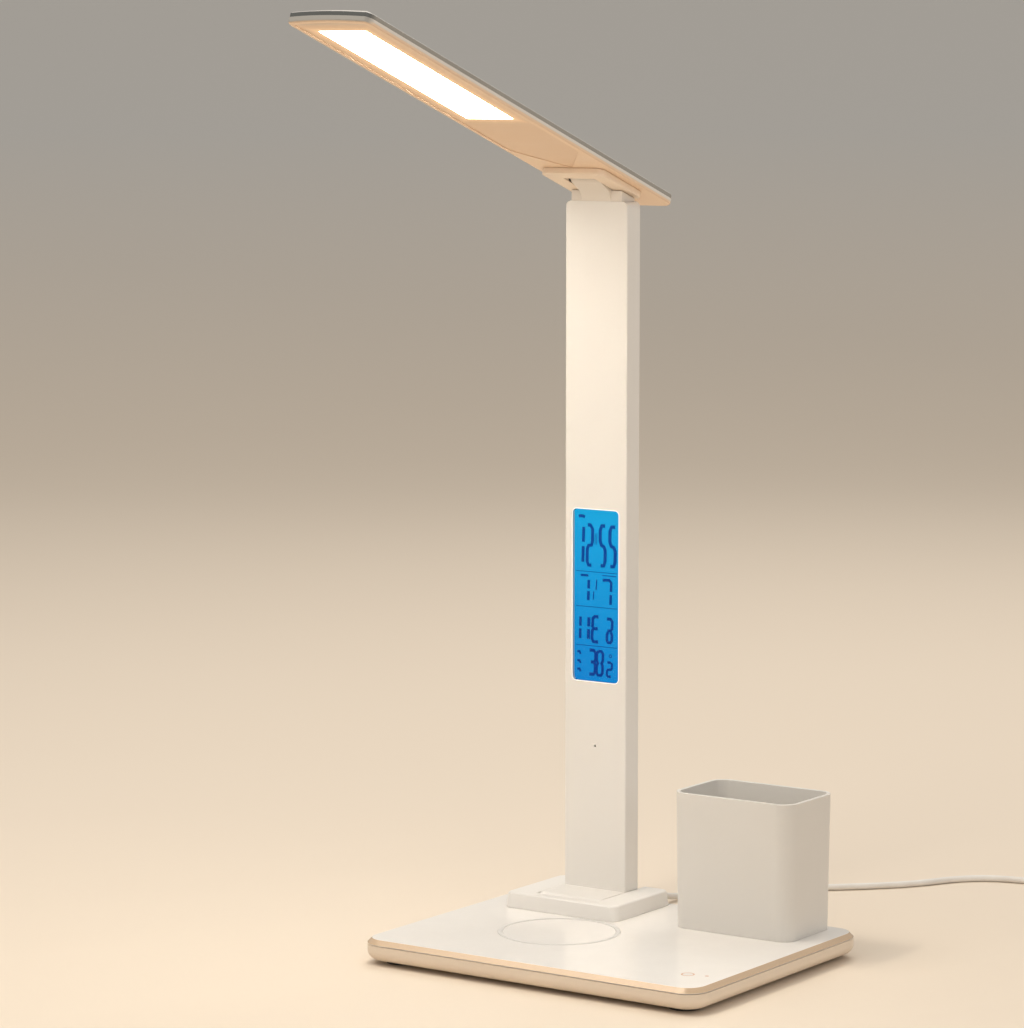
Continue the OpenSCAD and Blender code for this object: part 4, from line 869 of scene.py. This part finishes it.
# Each figure with its left, top, width, height and stroke in millimetres, from the window's top left.
readout = (
    ("1", 3.9, 8.6, 3.2, 20.6, 1.9), ("2", 7.8, 8.4, 3.4, 21.0, 2.0), ("5", 15.8, 8.4, 3.4, 20.8, 2.1),
    ("5", 21.8, 8.6, 3.6, 20.6, 2.1), ("1", 7.8, 36.6, 2.0, 12.0, 1.8), ("7", 17.4, 36.2, 5.4, 13.6, 1.7),
    ("1", 2.8, 56.2, 1.8, 12.8, 1.7), ("1", 7.8, 56.2, 2.2, 12.8, 2.0), ("6", 10.8, 56.2, 4.6, 13.2, 1.9),
    ("9", 19.7, 56.8, 4.0, 12.4, 1.8), ("3", 9.0, 74.0, 4.2, 12.6, 1.9), ("8", 13.7, 74.2, 4.2, 12.6, 1.8),
    ("2", 20.2, 79.6, 3.2, 7.4, 1.5))
strokes = []
for figure, x, y, wide, high, thick in readout:
    strokes += [([(x + wide * u, y + high * v) for u, v in line], thick) for line in numerals[figure]]
strokes += [([(x, 12.6), (x - 0.1, 18.4)], 0.4) for x in (12.8, 13.8)]
strokes += [([(13.8, 36.8), (13.4, 42.2)], 0.8), ([(12.0, 43.0), (11.6, 47.4)], 0.7)]
strokes += [([(2.6, 4.3), (3.6, 3.9), (5.4, 4.0), (6.4, 4.4)], 1.7)]
strokes += [([(3.8, 34.9), (8.6, 34.9)], 1.3), ([(17.2, 34.3), (25.8, 34.3)], 0.5)]
strokes += [([(1.8, v), (3.2, v - 0.3), (3.8, v + 1.2)], 1.4) for v in (75.4, 80.2, 84.6)]
degree = circle(0.8, 8)
strokes += [([(22.4 + u, 76.2 + v) for u, v in degree + degree[:1]], 0.5)]
strokes += [([(1.0, v), (26.4, v)], 0.35) for v in (32.8, 51.2, 71.7)]


def crystal_segments(name, lines):
    """Rounded strokes, pressed flat on the front of the crystal plate."""
    plate_front, flatness, lift, half_millimetre = 0.05801, 0.05, 0.0008, 0.0005
    drawing = bpy.data.curves.new(name, "CURVE")
    drawing.dimensions, drawing.bevel_resolution, drawing.use_fill_caps = "3D", 3, True
    drawing.bevel_depth = half_millimetre
    for points, thick in lines:
        pen = drawing.splines.new("POLY")
        pen.points.add(len(points) - 1)
        for spot, (u, v) in zip(pen.points, points):
            spot.co = (stem_x - clock_wide / 2 + u / 1000, 0, clock_high - v / 1000, 1)
            spot.radius = thick
    drawn = bpy.data.objects.new(name, drawing)
    scene.collection.objects.link(drawn)
    made = mesh_piece(name + "_strokes", [], [])
    made.data = finished_mesh(drawn)
    bpy.data.objects.remove(drawn)
    for spot in made.data.vertices:
        spot.co.y = plate_front + flatness * (spot.co.y + lift)
    return made


navy_ink = Finish("navy_segments", Roughness=0.5, Specular_IOR_Level=0.05, Emission_Strength=0.7)
navy_ink.feed("Base Color", navy_ink.mix(navy_ink.noise(400, 2), (0.004, 0.02, 0.07), (0.006, 0.03, 0.1)))
navy_ink.feed("Emission Color", navy_ink.mix(
    navy_ink.axes()[2].between(clock_low, clock_high), (0.002, 0.045, 0.30), (0.002, 0.075, 0.38)))
segments = crystal_segments("clock_segments", strokes)
paint(segments, navy_ink)
settle(segments, "stem", "blue_display")

diffuser_film = moulded("diffuser_film", (0.86, 0.87, 0.88), (0.8, 0.81, 0.82), 0.5, grain=0.3)
dress(diffuser_film, "clock_backlight")

cell_middle = (stem_x, 0, 0.1978)
cell_steel = Finish("cell_steel", Metallic=1.0)
cell_rings = cell_steel.rings(0.0002, cell_steel.seen_from(cell_middle), "Y")
cell_steel.feed("Base Color", cell_steel.mix(cell_steel.noise(200, 4), (0.6, 0.6, 0.6), (0.72, 0.71, 0.7)))
cell_steel.feed("Roughness", 0.2 + 0.2 * cell_rings)
cell_steel.feed("Normal", cell_steel.bump(cell_rings, 0.00002, 0.5))
dress(cell_steel, "coin_cell")

clock_tall, clock_middle, clock_corner = 0.090, 0.1758, 0.0024
window_bead = skinned("window_bead", [
    [(stem_x + u, y, clock_middle + v)
     for u, v in outline(clock_wide + 2 * out, clock_tall + 2 * out, clock_corner + out, 8)]
    for y, out in ((0.05603, 0.0), (0.05592, 0.00008), (0.05592, 0.00036), (0.05603, 0.00044))],
    into_ring=True)
# The bead's faint glow is a painted highlight on the window's edge.
bead_abs = Finish("bead_abs", Roughness=0.22, Emission_Strength=0.4, Coat_Weight=0.5)
bead_abs.feed("Base Color", bead_abs.mix(bead_abs.noise(240, 3), (0.92, 0.91, 0.89), (0.88, 0.87, 0.85)))
bead_abs.feed("Emission Color", bead_abs.mix(bead_abs.noise(90, 2), (1.0, 0.98, 0.95), (0.9, 0.9, 0.9)))
paint(window_bead, bead_abs)
settle(window_bead, "stem", "white_shell")

key_abs = moulded("key_abs", (0.7, 0.68, 0.65), (0.62, 0.6, 0.57), 0.38, grain=0.3)
for node in ("clock_set_button", "clock_up_button", "clock_down_button"):
    softened(node, 0.0004, key_abs, segments=4)


# ---------------------------------------------------------------- Neck and head joint
# The neck plugs into the stem's top and ends in a round barrel, which the head's bracket holds with a
# pin. It is the stem's white ABS in a warmer tone. Four screws hold the bracket in the head's frame.

neck_abs = moulded("neck_abs", (0.80, 0.735, 0.66), (0.77, 0.70, 0.62), 0.36, grain=0.2)
softened("neck", 0.0005, neck_abs)
head_turn = math.radians(-19.2)
head_place = Matrix.Translation((stem_x, 0.0491, 0.3934)) @ Matrix.Rotation(head_turn, 4, "X")
bracket_screws = fasten(
    "bracket_screws_driven",
    [head_place @ Vector((x, y, 0.0024)) for x in (-0.014, 0.014) for y in (-0.015, 0.015)],
    cross_screw("bracket_screw", 0.002, 0.0008, 0.00195), (math.pi + head_turn, 0, 0), 3)
settle(bracket_screws, "head", "steel", "bracket_screws")


# ---------------------------------------------------------------- Lamp head
# A lower frame of matt ABS with a shallow tray round the light, a dark band, and a bevelled white cover
# that clips over both. The tips of the frame and band are darkened with painted shade. The frame's
# underside and the lower part of its sides carry a painted warm bounce light, a darker one in the tray, and
# a painted orange glow beside the light. A pad round the neck covers the joint.

panel_half_x, panel_half_y, panel_away = 0.014, 0.064, 0.157
tip_line = -0.2325  # along the head, where its tip begins


def head_axes(finish):
    """Across, along and up from the head's pin, turned with the head."""
    return finish.axes(finish.seen_from(head_place.translation, (head_turn, 0, 0)))


frame_abs = moulded("frame_abs", (0.80, 0.755, 0.695), (0.77, 0.72, 0.655), 0.44)
across_head, along_head, up_head = head_axes(frame_abs)
at_tip = 1 - along_head.between(tip_line, -0.2285)
flat_below = 1 - up_head.between(-0.00075, -0.0003)
below = flat_below.math("MAXIMUM", flat_below, (1 - at_tip) * (1 - up_head.between(0.0002, 0.0007)))
in_tray = flat_below * up_head.between(-0.00095, -0.00085)
# Painted warm bounce light on the underside and lower sides, and a darker painted bounce in the tray.
painted_bounce = frame_abs.mix(frame_abs.noise(14, 3), (0.86, 0.65, 0.47), (0.83, 0.62, 0.44))
painted_tray_bounce = frame_abs.mix(frame_abs.noise(14, 3), (0.75, 0.54, 0.375), (0.72, 0.515, 0.35))
# The frame's tip is darkened with painted shade.
tip_shaded_sides = frame_abs.mix(at_tip, frame_abs.base, (0.40, 0.385, 0.35))
frame_abs.feed("Base Color", frame_abs.mix(below, tip_shaded_sides, frame_abs.mix(in_tray, painted_bounce, painted_tray_bounce)))
# A painted orange glow on the underside beside the light panel, fading out over 8.5 mm.
from_panel_x = abs(across_head) - panel_half_x
from_panel_y = abs(along_head + panel_away) - panel_half_y
from_panel = from_panel_x.math("MAXIMUM", from_panel_x, from_panel_y)
painted_glow = (1 - from_panel.between(0.0, 0.0085)) ** 2
frame_abs.feed("Emission Strength", 0.55)
frame_abs.feed("Emission Color", frame_abs.mix(flat_below * painted_glow, (0, 0, 0), (1.0, 0.62, 0.27)))
softened("head_lower_frame", 0.0003, frame_abs)

pad_abs = moulded("pad_abs", (0.86, 0.71, 0.56), (0.83, 0.68, 0.53), 0.42, grain=0.3)
softened("hinge_pad", 0.0006, pad_abs)
softened("head_top_cover", 0.0003, white_abs)
dark_abs = moulded("dark_abs", (0.36, 0.34, 0.30), (0.32, 0.302, 0.265), 0.22)
# The band's tip is darkened further with painted shade.
painted_band_tip_shade = 1 - head_axes(dark_abs)[1].between(tip_line, -0.227)
dark_abs.feed("Base Color", dark_abs.mix(painted_band_tip_shade, dark_abs.base, (0.105, 0.11, 0.105)))
softened("head_band", 0.0001, dark_abs)


# ---------------------------------------------------------------- Light
# Forty small LEDs on two strips shine into the edges of a clear guide. A dotted back, a silver film
# and an aluminium plate lie over it, and a milky diffuser closes it below.

lit_panel = Finish("lit_panel", Roughness=0.5, Emission_Strength=54)
lit_panel.feed("Base Color", lit_panel.mix(lit_panel.noise(90, 3), (0.86, 0.82, 0.75), (0.82, 0.77, 0.7)))
panel_x, panel_y = head_axes(lit_panel)[:2]
edge_x, edge_y = panel_half_x - abs(panel_x), panel_half_y - abs(panel_y + panel_away)
inwards = edge_x.math("MINIMUM", edge_x, edge_y)
glow = lit_panel.mix(lit_panel.noise(60, 2), (1.0, 0.93, 0.8), (1.0, 0.95, 0.84))
lit_panel.feed("Emission Color", lit_panel.mix(inwards.between(0.0, 0.0035), (0.45, 0.31, 0.17), glow))
dress(lit_panel, "light_panel")

guide_acrylic = Finish("guide_acrylic", Transmission_Weight=0.85, IOR=1.49)
dots = guide_acrylic.cells(420, randomness=0.1) < 0.28
guide_acrylic.feed("Base Color", guide_acrylic.mix(dots, (0.95, 0.96, 0.95), (0.9, 0.88, 0.82)))
guide_acrylic.feed("Roughness", 0.05 + 0.6 * dots)
guide_acrylic.feed("Normal", guide_acrylic.bump(dots, 0.00002, 0.6))
dress(guide_acrylic, "light_guide")

mirror_film = Finish("mirror_film", Metallic=0.9)
wrinkles = mirror_film.noise(50, 4, 0.6)
mirror_film.feed("Base Color", mirror_film.mix(wrinkles, (0.82, 0.82, 0.81), (0.9, 0.9, 0.89)))
mirror_film.feed("Roughness", 0.16 + 0.2 * wrinkles)
mirror_film.feed("Normal", mirror_film.bump(wrinkles, 0.0001, 0.5))
dress(mirror_film, "reflector")

aluminium = worked_metal("aluminium_sheet", (0.7, 0.71, 0.72), (0.8, 0.81, 0.82), (50, 4),
                         (2400, 140, 140), (0.26, 0.22))
dress(aluminium, "heat_plate")

strip_mask = moulded("strip_mask", (0.84, 0.85, 0.84), (0.78, 0.79, 0.78), 0.4, grain=0.4)
dress(strip_mask, "led_strips")
phosphor = Finish("led_phosphor", Roughness=0.4, Emission_Strength=1.6)
speckle = phosphor.noise(2400, 3, 0.7)
phosphor.feed("Base Color", phosphor.mix(speckle, (0.86, 0.62, 0.12), (0.95, 0.74, 0.2)))
phosphor.feed("Emission Color", phosphor.mix(speckle, (1.0, 0.78, 0.4), (1.0, 0.86, 0.55)))
dress(phosphor, "led_lamps")


# ---------------------------------------------------------------- Pen cup
# A square cup with rounded corners and a slight draught, moulded in satin white ABS, its white set darker
# than the stem's as painted shade. Two pegs under it stand in holes of the cover, and it lifts off. Its lip
# is round, and its inside is darker in streaky patches low down.

# The cup's white is darker than the stem's white ABS: painted shade.
cup_abs = moulded("cup_abs", (0.73, 0.70, 0.655), (0.70, 0.668, 0.62), 0.36, grain=0.15)
inside_streaks = cup_abs.noise(1.0, 5, 0.7, cup_abs.stretch((420, 420, 60)))
cup_x, cup_y, cup_z = cup_abs.axes()
cup_middle_x, cup_middle_y = 0.0507, 0.0539
inside = (abs(cup_x - cup_middle_x) < 0.032) * (abs(cup_y - cup_middle_y) < 0.0202)
low_down = (1 - cup_z.between(0.0165, 0.05)) * inside
# Darker streaky patches low down inside the cup.
cup_abs.feed("Base Color", cup_abs.mix(
    0.5 * low_down * inside_streaks.between(0.52, 0.7), cup_abs.base, (0.52, 0.45, 0.38)))
softened("pen_cup", 0.0008, cup_abs, segments=5)
